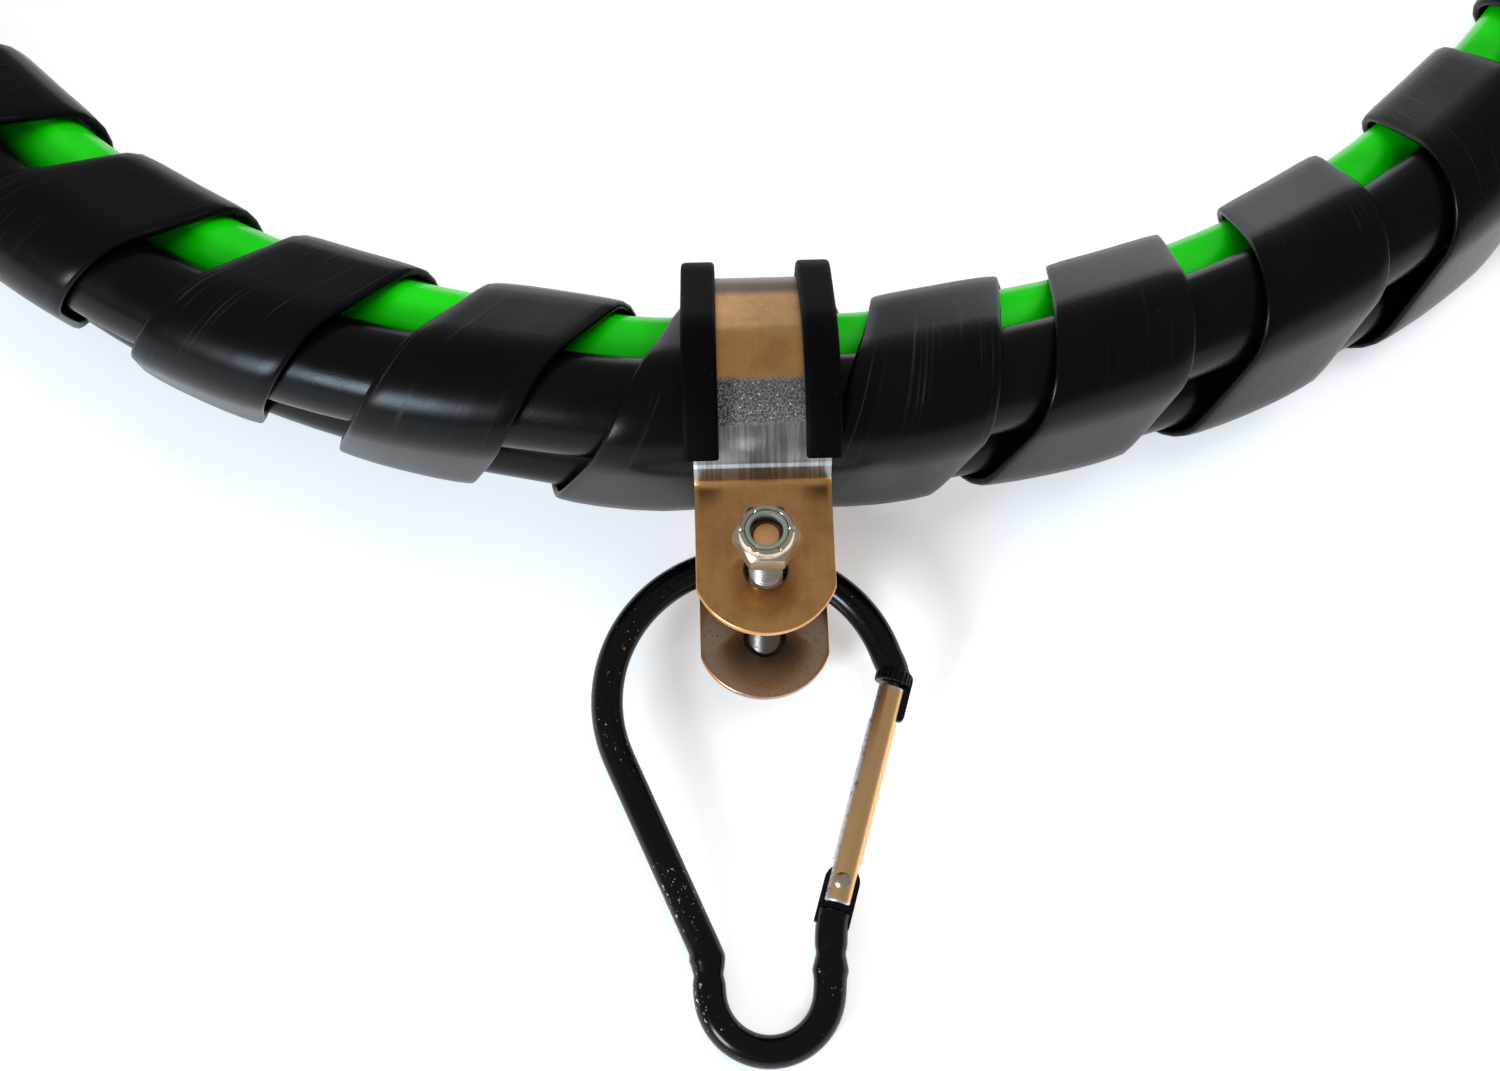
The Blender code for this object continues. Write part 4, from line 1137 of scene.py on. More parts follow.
# ---------------------------------------------------------------- the bundle's section
@dataclass(frozen=True)
class Section:
    """Two hoses one over the other, with the cable against both, inside the loop.

    Attributes:
        hose_radius: Outside radius of a hose.
        cable_radius: Outside radius of the cable.
        gap: Between neighbours.
        lean: The hoses lean forward by this angle.
    """

    hose_radius: float = 0.01905 / 2
    cable_radius: float = 0.0150 / 2
    gap: float = 0.0003
    lean: float = math.radians(6.0)

    def middles(self) -> dict[str, Vector]:
        """The lines' middles, (inward, up) from the bundle's middle.

        Returns:
            The middles by the lines' names.
        """
        half = self.hose_radius + self.gap / 2
        reach = self.hose_radius + self.cable_radius + self.gap
        depth = math.sqrt(reach ** 2 - half ** 2)
        across = depth + self.cable_radius - self.hose_radius
        shift = (across ** 2 - half ** 2) / (2 * across)
        turn = Matrix.Rotation(self.lean, 2)
        return {"hose_upper": turn @ Vector((-shift, half)),
                "hose_lower": turn @ Vector((-shift, -half)),
                "power_cable": turn @ Vector((depth - shift, 0.0))}

    def radii(self) -> dict[str, float]:
        """The lines' radii."""
        return {"hose_upper": self.hose_radius, "hose_lower": self.hose_radius,
                "power_cable": self.cable_radius}

    def shared_normal(self, first: str, second: str, side: int) -> float:
        """Normal direction of the straight stretch that touches two neighbours.

        Args:
            first: One line.
            second: The other line.
            side: 1 on the left of the way from first to second, and -1 on the right.

        Returns:
            The angle of the outward normal.
        """
        middles, radii = self.middles(), self.radii()
        across = middles[second] - middles[first]
        swing = math.acos((radii[first] - radii[second]) / across.length)
        return math.atan2(across.y, across.x) + side * swing

    def outline(self, start: float, end: float, step: float = math.radians(2.0)
                ) -> list[tuple[Vector, Vector]]:
        """The lines' outline, from the upper hose over the cable to the lower hose.

        Args:
            start: Normal direction of the first point, on the upper hose.
            end: Normal direction of the last point, on the lower hose.
            step: Angle between points.

        Returns:
            Points and outward normals.
        """
        middles, radii = self.middles(), self.radii()
        top = self.shared_normal("hose_upper", "power_cable", 1)
        bottom = self.shared_normal("hose_lower", "power_cable", -1)
        spans = (("hose_upper", start, top), ("power_cable", top, bottom),
                 ("hose_lower", bottom, end))
        found = []
        for line, first, last in spans:
            count = math.ceil(abs(last - first) / step) + 1
            for angle in np.linspace(first, last, count):
                normal = Vector((math.cos(angle), math.sin(angle)))
                found.append((middles[line] + radii[line] * normal, normal))
        return found


class Track:
    """Outline points and normals, read by the distance run along them."""

    def __init__(self, spots: Sequence[tuple[Vector, Vector]], reach: float,
                 closed: bool = False) -> None:
        """Lay out the track.

        Args:
            spots: Points and normals in order.
            reach: How far outside the points the distance is measured.
            closed: Whether the track runs on from its end to its start.
        """
        spots = [*spots, spots[0]] if closed else list(spots)
        self.points = np.array([point[:] for point, _ in spots])
        self.normals = np.array([normal[:] for _, normal in spots])
        self.runs = runs_along(self.points + self.normals * reach)
        self.length = float(self.runs[-1])

    def at(self, run: np.ndarray, reach: np.ndarray) -> np.ndarray:
        """Points at a run along the track and a reach outside it, (inward, up)."""
        normal = as_units(read_along(run, self.runs, self.normals))
        return read_along(run, self.runs, self.points) + normal * reach[:, None]


# ---------------------------------------------------------------- the route
def smooth_step(value: np.ndarray) -> np.ndarray:
    """0 to 1 with level ends."""
    held = np.clip(value, 0.0, 1.0)
    return held * held * (3 - 2 * held)


@dataclass
class Route:
    """The way that the bundle lies: one loop, with its ends put away along the back."""

    section: Section = field(default_factory=Section)
    line_length: float = 2.37
    loop_radius: float = 0.220
    left_back: tuple[float, float] = (0.200, math.radians(97))
    left_tail: tuple[float, float] = (0.140, math.radians(93))
    right_back: tuple[float, float] = (0.220, math.radians(90))
    right_tail: tuple[float, float] = (0.300, math.radians(32))
    end_run: float = 0.125
    easing: float = 0.080
    chord_count: int = 75
    steps: int = 7900
    fan_spacing: float = 0.038
    fan_run: float = 0.200
    fan_drop_start: float = 0.35
    clamp_easing: float = 0.120
    twist: float = math.radians(8)
    twist_run: float = 0.085
    twist_end: float = 0.170
    twist_fade: float = 0.130
    fitting_height: float = 0.01282
    plug_height: float = 0.0215

    def __post_init__(self) -> None:
        """Settle the heights and the stations."""
        low = self.section.middles()["hose_lower"].y
        self.clamp_middle = self.section.hose_radius + Clamp.lip_out() - low
        self.lying_middle = self.section.hose_radius + WRAP_REACH + WRAP_FLOOR_GAP - low
        self.chord = self.line_length / self.chord_count
        self.places, self.headings = self._stations()

    def _plan(self) -> tuple[np.ndarray, np.ndarray, np.ndarray, np.ndarray]:
        """Distances along the bundle from the clamp, with x, y and heading at each.

        Returns:
            The distances, the x and y places and the headings in radians.
        """
        half = self.line_length / 2 - self.loop_radius * math.pi / 2 - self.end_run
        left = [radius * angle for radius, angle in (self.left_tail, self.left_back)]
        right = [radius * angle for radius, angle in (self.right_back, self.right_tail)]
        runs = [(self.end_run, 0.0), (left[0], 1 / self.left_tail[0]),
                (left[1], 1 / self.left_back[0]), (half - sum(left), 0.0),
                (self.loop_radius * math.pi, 1 / self.loop_radius), (half - sum(right), 0.0),
                (right[0], 1 / self.right_back[0]), (right[1], 1 / self.right_tail[0]),
                (self.end_run, 0.0)]
        step = self.line_length / self.steps
        marks = (np.arange(self.steps) + 0.5) * step
        index = np.searchsorted(np.cumsum([run[0] for run in runs]), marks)
        bend = np.array([run[1] for run in runs])[np.minimum(index, len(runs) - 1)]
        window = int(self.easing / step) | 1
        even = np.convolve(np.pad(bend, window // 2), np.ones(window) / window, "valid")
        heading = np.concatenate([[0.0], np.cumsum(even) * step])
        heading -= heading[self.steps // 2]
        middle = (heading[1:] + heading[:-1]) / 2
        x = np.concatenate([[0.0], np.cumsum(np.cos(middle)) * step])
        y = np.concatenate([[0.0], np.cumsum(np.sin(middle)) * step])
        along = np.linspace(-self.line_length / 2, self.line_length / 2, self.steps + 1)
        return along, x - x[self.steps // 2], y - y[self.steps // 2], heading

    def _stations(self) -> tuple[np.ndarray, np.ndarray]:
        """Places and headings at the route's stations, square to the clamp beside it.

        Returns:
            The places and the unit headings in the floor's plane.
        """
        along, x, y, heading = self._plan()
        marks = np.linspace(-self.line_length / 2, self.line_length / 2, self.chord_count + 1)
        places = read_along(marks, along, np.stack([x, y], 1))
        turn = np.interp(marks, along, heading)
        headings = np.stack([np.cos(turn), np.sin(turn)], 1)
        for index in (self.chord_count // 2, self.chord_count // 2 + 1):
            places[index] = (marks[index], 0.0)
            headings[index] = (1.0, 0.0)
        return places, headings

    def at(self, distance: np.ndarray) -> tuple[np.ndarray, np.ndarray]:
        """Smooth curve through the stations.

        Args:
            distance: Distances along the bundle from the clamp.

        Returns:
            Places and inward directions, in the floor's plane.
        """
        position = (distance + self.line_length / 2) / self.chord
        index = np.clip(position.astype(int), 0, self.chord_count - 1)
        share = (position - index)[:, None]
        near, far = self.places[index], self.places[index + 1]
        leave, arrive = (self.headings[index] * self.chord,
                         self.headings[index + 1] * self.chord)
        square, cube = share ** 2, share ** 3
        spot = ((2 * cube - 3 * square + 1) * near + (cube - 2 * square + share) * leave
                + (3 * square - 2 * cube) * far + (cube - square) * arrive)
        slope = (6 * (square - share) * (near - far) + (3 * square - 4 * share + 1) * leave
                 + (3 * square - 2 * share) * arrive)
        slope = as_units(slope)
        return spot, np.stack([-slope[:, 1], slope[:, 0]], 1)

    def twisted(self, distance: np.ndarray) -> np.ndarray:
        """How far the section is turned about the bundle's middle.

        Args:
            distance: Distances along the bundle from the clamp.

        Returns:
            The turns in radians.
        """
        grown = smooth_step((np.abs(distance) - self.chord / 2) / self.twist_run)
        left = 1 - smooth_step((np.abs(distance) - self.twist_end) / self.twist_fade)
        return -np.sign(distance) * self.twist * grown * left

    def point(self, distance: np.ndarray, inward: np.ndarray, up: np.ndarray) -> np.ndarray:
        """Points of the bundle's section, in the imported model's frame.

        Args:
            distance: Distances along the bundle from the clamp.
            inward: Places towards the loop's middle.
            up: Places above the bundle's middle.

        Returns:
            The points, one a row.
        """
        spot, across = self.at(distance)
        share = 1 - smooth_step((np.abs(distance) - self.chord / 2) / self.clamp_easing)
        height = self.lying_middle + (self.clamp_middle - self.lying_middle) * share
        turn = self.twisted(distance)
        aside = inward * np.cos(turn) - up * np.sin(turn)
        rise = inward * np.sin(turn) + up * np.cos(turn)
        flat = spot + across * aside[:, None] + np.array(SHIFT[:2])
        return np.column_stack([flat, height + rise])

    def parted(self, name: str, distance: np.ndarray) -> tuple[np.ndarray, np.ndarray]:
        """Where a line lies in the section, given that the lines part towards the ends.

        Args:
            name: The line.
            distance: Distances along the bundle from the clamp.

        Returns:
            Its inward and upward places.
        """
        home = self.section.middles()[name]
        lying = self.plug_height if name == "power_cable" else self.fitting_height
        left = {"power_cable": 2, "hose_upper": 1, "hose_lower": 0}[name]
        right = {"power_cable": 0, "hose_lower": -1, "hose_upper": -2}[name]
        order = np.where(distance > 0, right, left)
        travelled = (np.abs(distance) - (self.line_length / 2 - self.end_run - self.fan_run)
                     ) / self.fan_run
        aside = smooth_step(travelled)
        down = smooth_step((travelled - self.fan_drop_start) / (1 - self.fan_drop_start))
        return (home.x + (order * self.fan_spacing - home.x) * aside,
                home.y + (lying - self.lying_middle - home.y) * down)

    def line(self, name: str, distance: np.ndarray) -> np.ndarray:
        """A line's middle points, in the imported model's frame."""
        return self.point(distance, *self.parted(name, distance))

    def end_frame(self, name: str, side: Side) -> Matrix:
        """Frame at a line's end: +Z runs on along the line, and +X is up.

        Args:
            name: The line.
            side: The end.

        Returns:
            The frame.
        """
        tip_at = side.value * self.line_length / 2
        before, tip = self.line(name, np.array([tip_at - side.value * self.chord, tip_at]))
        forward = Vector(tip - before)
        forward.z = 0.0
        forward.normalize()
        up = Vector((0.0, 0.0, 1.0))
        placed = Matrix((up, forward.cross(up), forward)).transposed().to_4x4()
        placed.translation = Vector(tip)
        return placed


# ---------------------------------------------------------------- lines and wrap
@dataclass
class Lines:
    """The two air hoses and the electrical cable."""

    route: Route
    rings: int = 360
    sides: int = 28
    path_points: int = 140

    def tube(self, name: str) -> Form:
        """A round tube along one line.

        Args:
            name: The line.

        Returns:
            The form; its "local" points are those of the straightened line.
        """
        radius = self.route.section.radii()[name]

        def place(along: np.ndarray, around: np.ndarray) -> tuple[np.ndarray, np.ndarray]:
            """Points on the tube.

            Args:
                along: Shares of the way along, from 0 to 1.
                around: Shares of the way round the section, from 0 to 1.

            Returns:
                The points, and where each lies in the piece's own frame.
            """
            distance = (along - 0.5) * self.route.line_length
            angle = around * math.tau
            inward, up = self.route.parted(name, distance)
            spread, rise = radius * np.cos(angle), radius * np.sin(angle)
            points = self.route.point(distance, inward + spread, up + rise)
            return points, np.column_stack([distance, spread, rise])

        return rolled(self.rings, self.sides, place)

    def build(self) -> dict[str, bpy.types.Object]:
        """Build and dress the three lines.

        Returns:
            The lines' pieces by name.
        """
        finishes = {"hose_upper": HOSE, "hose_lower": HOSE, "power_cable": CABLE}
        return {name: put(self.tube(name), name, "line", finish)
                for name, finish in finishes.items()}

    def declare(self, name: str) -> None:
        """Work out one line's path and width; nothing is declared with them.

        Args:
            name: The line.
        """
        half = self.route.line_length / 2
        path = self.route.line(name, np.linspace(-half, half, self.path_points))
        2 * self.route.section.radii()[name]


@dataclass
class SpiralWrap:
    """One flat strip wound round the lines in open turns."""

    route: Route
    end: float = 0.835
    pitch: float = 0.0437
    phase: float = 0.0220
    squeeze: float = 0.0065
    squeeze_start: float = -1.2
    squeeze_turns: float = 2.9
    width: float = 0.0275
    inside: float = 0.0011
    outside: float = 0.00305
    dome: float = 0.00045
    rim: float = 0.0008
    steps: int = 44

    def strip(self) -> Outline:
        """The strip's section, (across, reach), with a domed outer face.

        Returns:
            The corners, in order.
        """
        half = self.width / 2
        outer = [(half * share, self.outside - self.dome * share ** 4)
                 for share in (1.0, 0.75, 0.4, 0.0, -0.4, -0.75, -1.0)]
        inner = [(half * share, self.inside) for share in (-1.0, -0.5, 0.5, 1.0)]
        return eased([*outer, *inner], self.rim, 2)

    def build(self) -> bpy.types.Object:
        """Build and dress the wrap.

        Returns:
            The wrap's piece.
        """
        front = self.route.section.shared_normal("hose_lower", "hose_upper", 1)
        if front < 0:
            front += math.tau
        reach = (self.inside + self.outside) / 2
        track = Track(self.route.section.outline(front, front - math.tau), reach, closed=True)
        first = -(self.end + self.phase) / self.pitch
        last = (self.end - self.phase) / self.pitch
        section = self.strip()

        def place(along: np.ndarray, around: np.ndarray) -> tuple[np.ndarray, np.ndarray]:
            """Points on the strip.

            Args:
                along: Shares of the way along, from 0 to 1.
                around: Shares of the way round the section, from 0 to 1.

            Returns:
                The points, and where each lies in the piece's own frame.
            """
            turn = first + (last - first) * along
            across, out = corners_at(section, around)
            spot = track.at((turn % 1.0) * track.length, out)
            share = smooth_step((turn - self.squeeze_start) / self.squeeze_turns)
            distance = (self.phase + self.pitch * turn + self.squeeze * (1 - 2 * share)
                        + across)
            points = self.route.point(distance, spot[:, 0], spot[:, 1])
            return points, np.column_stack([turn * track.length, across, out])

        steps = round((last - first) * self.steps)
        return put(rolled(steps, len(section), place), "spiral_wrap", "strip", WRAP, sharp=60.0)


# ---------------------------------------------------------------- the clamp
@dataclass
class Clamp:
    """Rubber-lined steel P-clamp with its bolt and lock nut."""

    route: Route
    strap_width: float = 0.0245
    ear_gap: float = 0.0346
    bend_radius: float = 0.0020
    ear_length: float = 0.0120
    ear_end_radius: float = 0.0130
    hole_y: float = -0.0365
    hole_radius: float = 0.0038
    side: float = 0.0014
    lip_reach: float = 0.0046
    setback: float = math.radians(22)
    edge: float = 0.00028
    flat_run: float = 0.016
    cut_step: float = 0.0008
    bolt_radius: float = 0.0030
    thread_depth: float = 0.00052
    thread_pitch: float = 0.0010
    head_across: float = 0.0100
    head_height: float = 0.0040
    nut_standoff: float = 0.0115
    nut_across: float = 0.0100
    nut_rim: float = 0.0048
    nut_hex: float = 0.0044
    nut_collar: float = 0.0016
    collar_radius: float = 0.0046
    collar_wall: float = 0.0006
    crimp_depth: float = 0.00035
    insert_bore: float = 0.0028
    insert_height: float = 0.0012
    bolt_in_nut: float = 0.0033

    @staticmethod
    def lip_out() -> float:
        """How far the rubber's lips stand outside the lines."""
        return CUSHION_IN + CUSHION_BASE + CLEARANCE + STRAP_THICKNESS + CLEARANCE + CUSHION_LIP

    def __post_init__(self) -> None:
        """Settle the reaches that follow."""
        self.strap_in = CUSHION_IN + CUSHION_BASE + CLEARANCE
        self.strap_mid = self.strap_in + STRAP_THICKNESS / 2
        self.nut_seat = LOWER_EAR + self.ear_gap + STRAP_THICKNESS / 2 + self.nut_standoff
        self.bolt_place = Matrix.Translation(SHIFT + Vector((0.0, self.hole_y, 0.0)))

    def _leaves(self) -> tuple[float, float, float, float]:
        """Normal directions where the strap leaves the hoses, and the ears' heights.

        Returns:
            The upper and lower directions in radians, then the heights of the
            upper and lower ears above the bundle's middle.
        """
        middles = self.route.section.middles()
        reach = self.route.section.hose_radius + self.strap_mid + self.bend_radius
        upper = LOWER_EAR + self.ear_gap - self.route.clamp_middle
        lower = LOWER_EAR - self.route.clamp_middle
        up = upper + self.bend_radius - middles["hose_upper"].y
        down = lower - self.bend_radius - middles["hose_lower"].y
        return (math.pi - math.asin(up / reach), -math.pi + math.asin(-down / reach),
                upper, lower)

    def _fillet(self, hose: str, start: float, end: float) -> list[tuple[Vector, Vector]]:
        """Outline points and normals of the bend between the loop and an ear.

        Args:
            hose: The hose that the bend lies against.
            start: The normal's direction at the loop, in radians.
            end: The normal's direction at the ear, in radians.

        Returns:
            The points and normals, from the loop to the ear.
        """
        contact = Vector((math.cos(start), math.sin(start)))
        middle = (self.route.section.middles()[hose] + contact
                  * (self.route.section.hose_radius + self.strap_mid + self.bend_radius))
        found = []
        for angle in np.linspace(start, end, 14):
            normal = Vector((math.cos(angle), math.sin(angle)))
            found.append((middle - normal * (self.bend_radius + self.strap_mid), normal))
        return found

    def strap_track(self) -> Track:
        """The whole strap's track, from the upper ear's tip to the lower ear's.

        Returns:
            The track.
        """
        start, end, upper, lower = self._leaves()
        tip = self.hole_y - self.ear_length
        top = (Vector((tip, upper - self.strap_mid)), Vector((0.0, 1.0)))
        bottom = (Vector((tip, lower + self.strap_mid)), Vector((0.0, -1.0)))
        loop = self.route.section.outline(start, end)
        return Track([top, *reversed(self._fillet("hose_upper", start, math.pi / 2)), *loop,
                      *self._fillet("hose_lower", end, -math.pi / 2), bottom], self.strap_mid)

    def blank(self, length: float) -> Form:
        """The strap before it is bent: a flat strip with round ends and two holes.

        Args:
            length: Its length.

        Returns:
            The closed form, with X across it, Y along it and Z out of the loop.
        """
        work = bmesh.new()
        half = self.strap_width / 2
        spread = math.asin(min(half / self.ear_end_radius, 1.0))
        near = arc((0.0, self.ear_end_radius), self.ear_end_radius, -math.pi / 2 - spread,
                   -math.pi / 2 + spread, 31)
        outline = [*near, *[(x, length - y) for x, y in reversed(near)]]
        ring = [work.verts.new((x, y, 0.0)) for x, y in outline]
        for index, vert in enumerate(ring):
            work.edges.new((ring[index - 1], vert))
        for y in (self.ear_length, length - self.ear_length):
            bmesh.ops.create_circle(work, segments=40, radius=self.hole_radius,
                                    matrix=Matrix.Translation((0.0, y, 0.0)))
        bmesh.ops.triangle_fill(work, edges=work.edges[:], use_beauty=True, normal=(0, 0, 1))
        raise_faces(work, STRAP_THICKNESS)
        bmesh.ops.recalc_face_normals(work, faces=work.faces)
        soften(work, self.edge, 2, 60.0)
        for run in np.arange(self.flat_run, length - self.flat_run, self.cut_step):
            bisected(work, (0, run, 0), (0, 1, 0))
        return work

    def strap(self) -> Form:
        """The bent strap.

        Returns:
            The closed form.
        """
        track = self.strap_track()
        work = self.blank(track.length)
        mark_local(work)
        flat = np.array([vert.co for vert in work.verts])
        spot = track.at(flat[:, 1], self.strap_in + flat[:, 2])
        for vert, (inward, up) in zip(work.verts, spot.tolist()):
            vert.co = SHIFT + Vector((vert.co.x, inward, up + self.route.clamp_middle))
        bmesh.ops.recalc_face_normals(work, faces=work.faces)
        return work

    def cushion(self) -> Form:
        """The rubber channel round the strap's edges, open over its middle.

        Returns:
            The closed form.
        """
        start, end, _, _ = self._leaves()
        track = Track(self.route.section.outline(start - self.setback, end + self.setback),
                      CUSHION_IN)
        inner = self.strap_width / 2 + CLEARANCE
        outer = inner + self.side
        lip = self.strap_width / 2 - self.lip_reach
        floor = CUSHION_IN + CUSHION_BASE
        low = self.strap_in + STRAP_THICKNESS + CLEARANCE
        high = self.lip_out()
        half = [(outer, CUSHION_IN), (outer, high), (lip, high), (lip, low), (inner, low),
                (inner, floor)]
        mirrored = [(-across, out) for across, out in reversed(half)]
        section = eased([mirrored[-1], *half, *mirrored[:-1]], 0.0009)

        def place(along: np.ndarray, around: np.ndarray) -> tuple[np.ndarray, np.ndarray]:
            """Points on the channel.

            Args:
                along: Shares of the way along, from 0 to 1.
                around: Shares of the way round the section, from 0 to 1.

            Returns:
                The points, and where each lies in the piece's own frame.
            """
            across, out = corners_at(section, around)
            run = along * track.length
            spot = track.at(run, out)
            points = np.column_stack([across, spot[:, 0], spot[:, 1] + self.route.clamp_middle])
            return points + np.array(SHIFT), np.column_stack([across, run, out])

        return rolled(150, len(section), place)

    def bolt(self) -> Form:
        """The bolt: hexagon head below, thread up through both ears.

        Returns:
            The form, with Z along the bolt.
        """
        under = LOWER_EAR - STRAP_THICKNESS / 2 - CLEARANCE
        low = under - self.head_height
        top = self.nut_seat + self.bolt_in_nut
        wide = self.head_across / math.sqrt(3)
        rim = self.head_across / 2 * 0.96
        head = hexed([(0, low), (rim, low), (wide, low + 0.0006), (wide, under), (0, under)],
                     self.head_across, low, under, closed=False)
        shank = threaded(self.bolt_radius, self.thread_depth, self.thread_pitch,
                         under - 0.0004, top - 0.0005, 32)
        cone = turned([(0, top - 0.0012), (0.00262, top - 0.0010), (0.00255, top - 0.0003),
                       (0.0022, top), (0, top)], 32)
        return joined([head, shank, cone])

    def nut(self) -> Form:
        """The lock nut: chamfered hexagon, round collar with crimp marks, threaded bore.

        Returns:
            The form, with Z along the bolt.
        """
        low, bore = self.nut_seat, self.bolt_radius + CLEARANCE
        shelf = low + self.nut_hex
        top = shelf + self.nut_collar
        wide, rim = self.nut_across / math.sqrt(3), self.nut_rim
        pocket = self.collar_radius - self.collar_wall
        collar = eased([(self.collar_radius + 0.0002, shelf + 0.0001), (self.collar_radius, top),
                        (pocket - 0.0004, top), (pocket, shelf + 0.0003)], 0.0006, 4, False)
        profile = [(bore + 0.0003, low), (rim, low), (wide, low + 0.0005),
                   (wide, shelf - 0.0007), (rim, shelf), *collar, (bore, shelf),
                   (bore, low + 0.0003)]
        work = hexed(profile, self.nut_across, low, top)
        for vert in work.verts:
            angle = math.atan2(vert.co.y, vert.co.x)
            share = max(0.0, (vert.co.z - shelf) / self.nut_collar)
            notch = max(0.0, math.cos(6 * angle)) ** 12
            vert.co.z -= self.crimp_depth * notch * share ** 2
        return work

    def insert(self) -> Form:
        """The nylon ring in the nut's collar.

        Returns:
            The form, with Z along the bolt.
        """
        seat = self.nut_seat + self.nut_hex + CLEARANCE
        outer = self.collar_radius - self.collar_wall - CLEARANCE
        top = seat + self.insert_height
        return turned(eased([(self.insert_bore, seat), (outer, seat), (outer, top),
                             (self.insert_bore, top)], 0.0004), 48, closed=True)

    def build(self) -> None:
        """Build and dress the clamp."""
        put(self.strap(), "clamp_strap", "bent", CLAMP, sharp=50.0)
        put(self.cushion(), "clamp_cushion", "channel", CUSHION, sharp=60.0)
        put(self.bolt(), "clamp_bolt", "threaded", BOLT, self.bolt_place, 30.0)
        put(self.nut(), "clamp_nut", "crimped", NUT, self.bolt_place, 30.0)
        put(self.insert(), "nut_insert", "ring", INSERT, self.bolt_place)


# ---------------------------------------------------------------- the carabiner
def hump(run: np.ndarray, shape: tuple[float, float]) -> np.ndarray:
    """A smooth hump round 0, of a (height, length)."""
    height, length = shape
    return height * np.exp(-(run / length) ** 2)


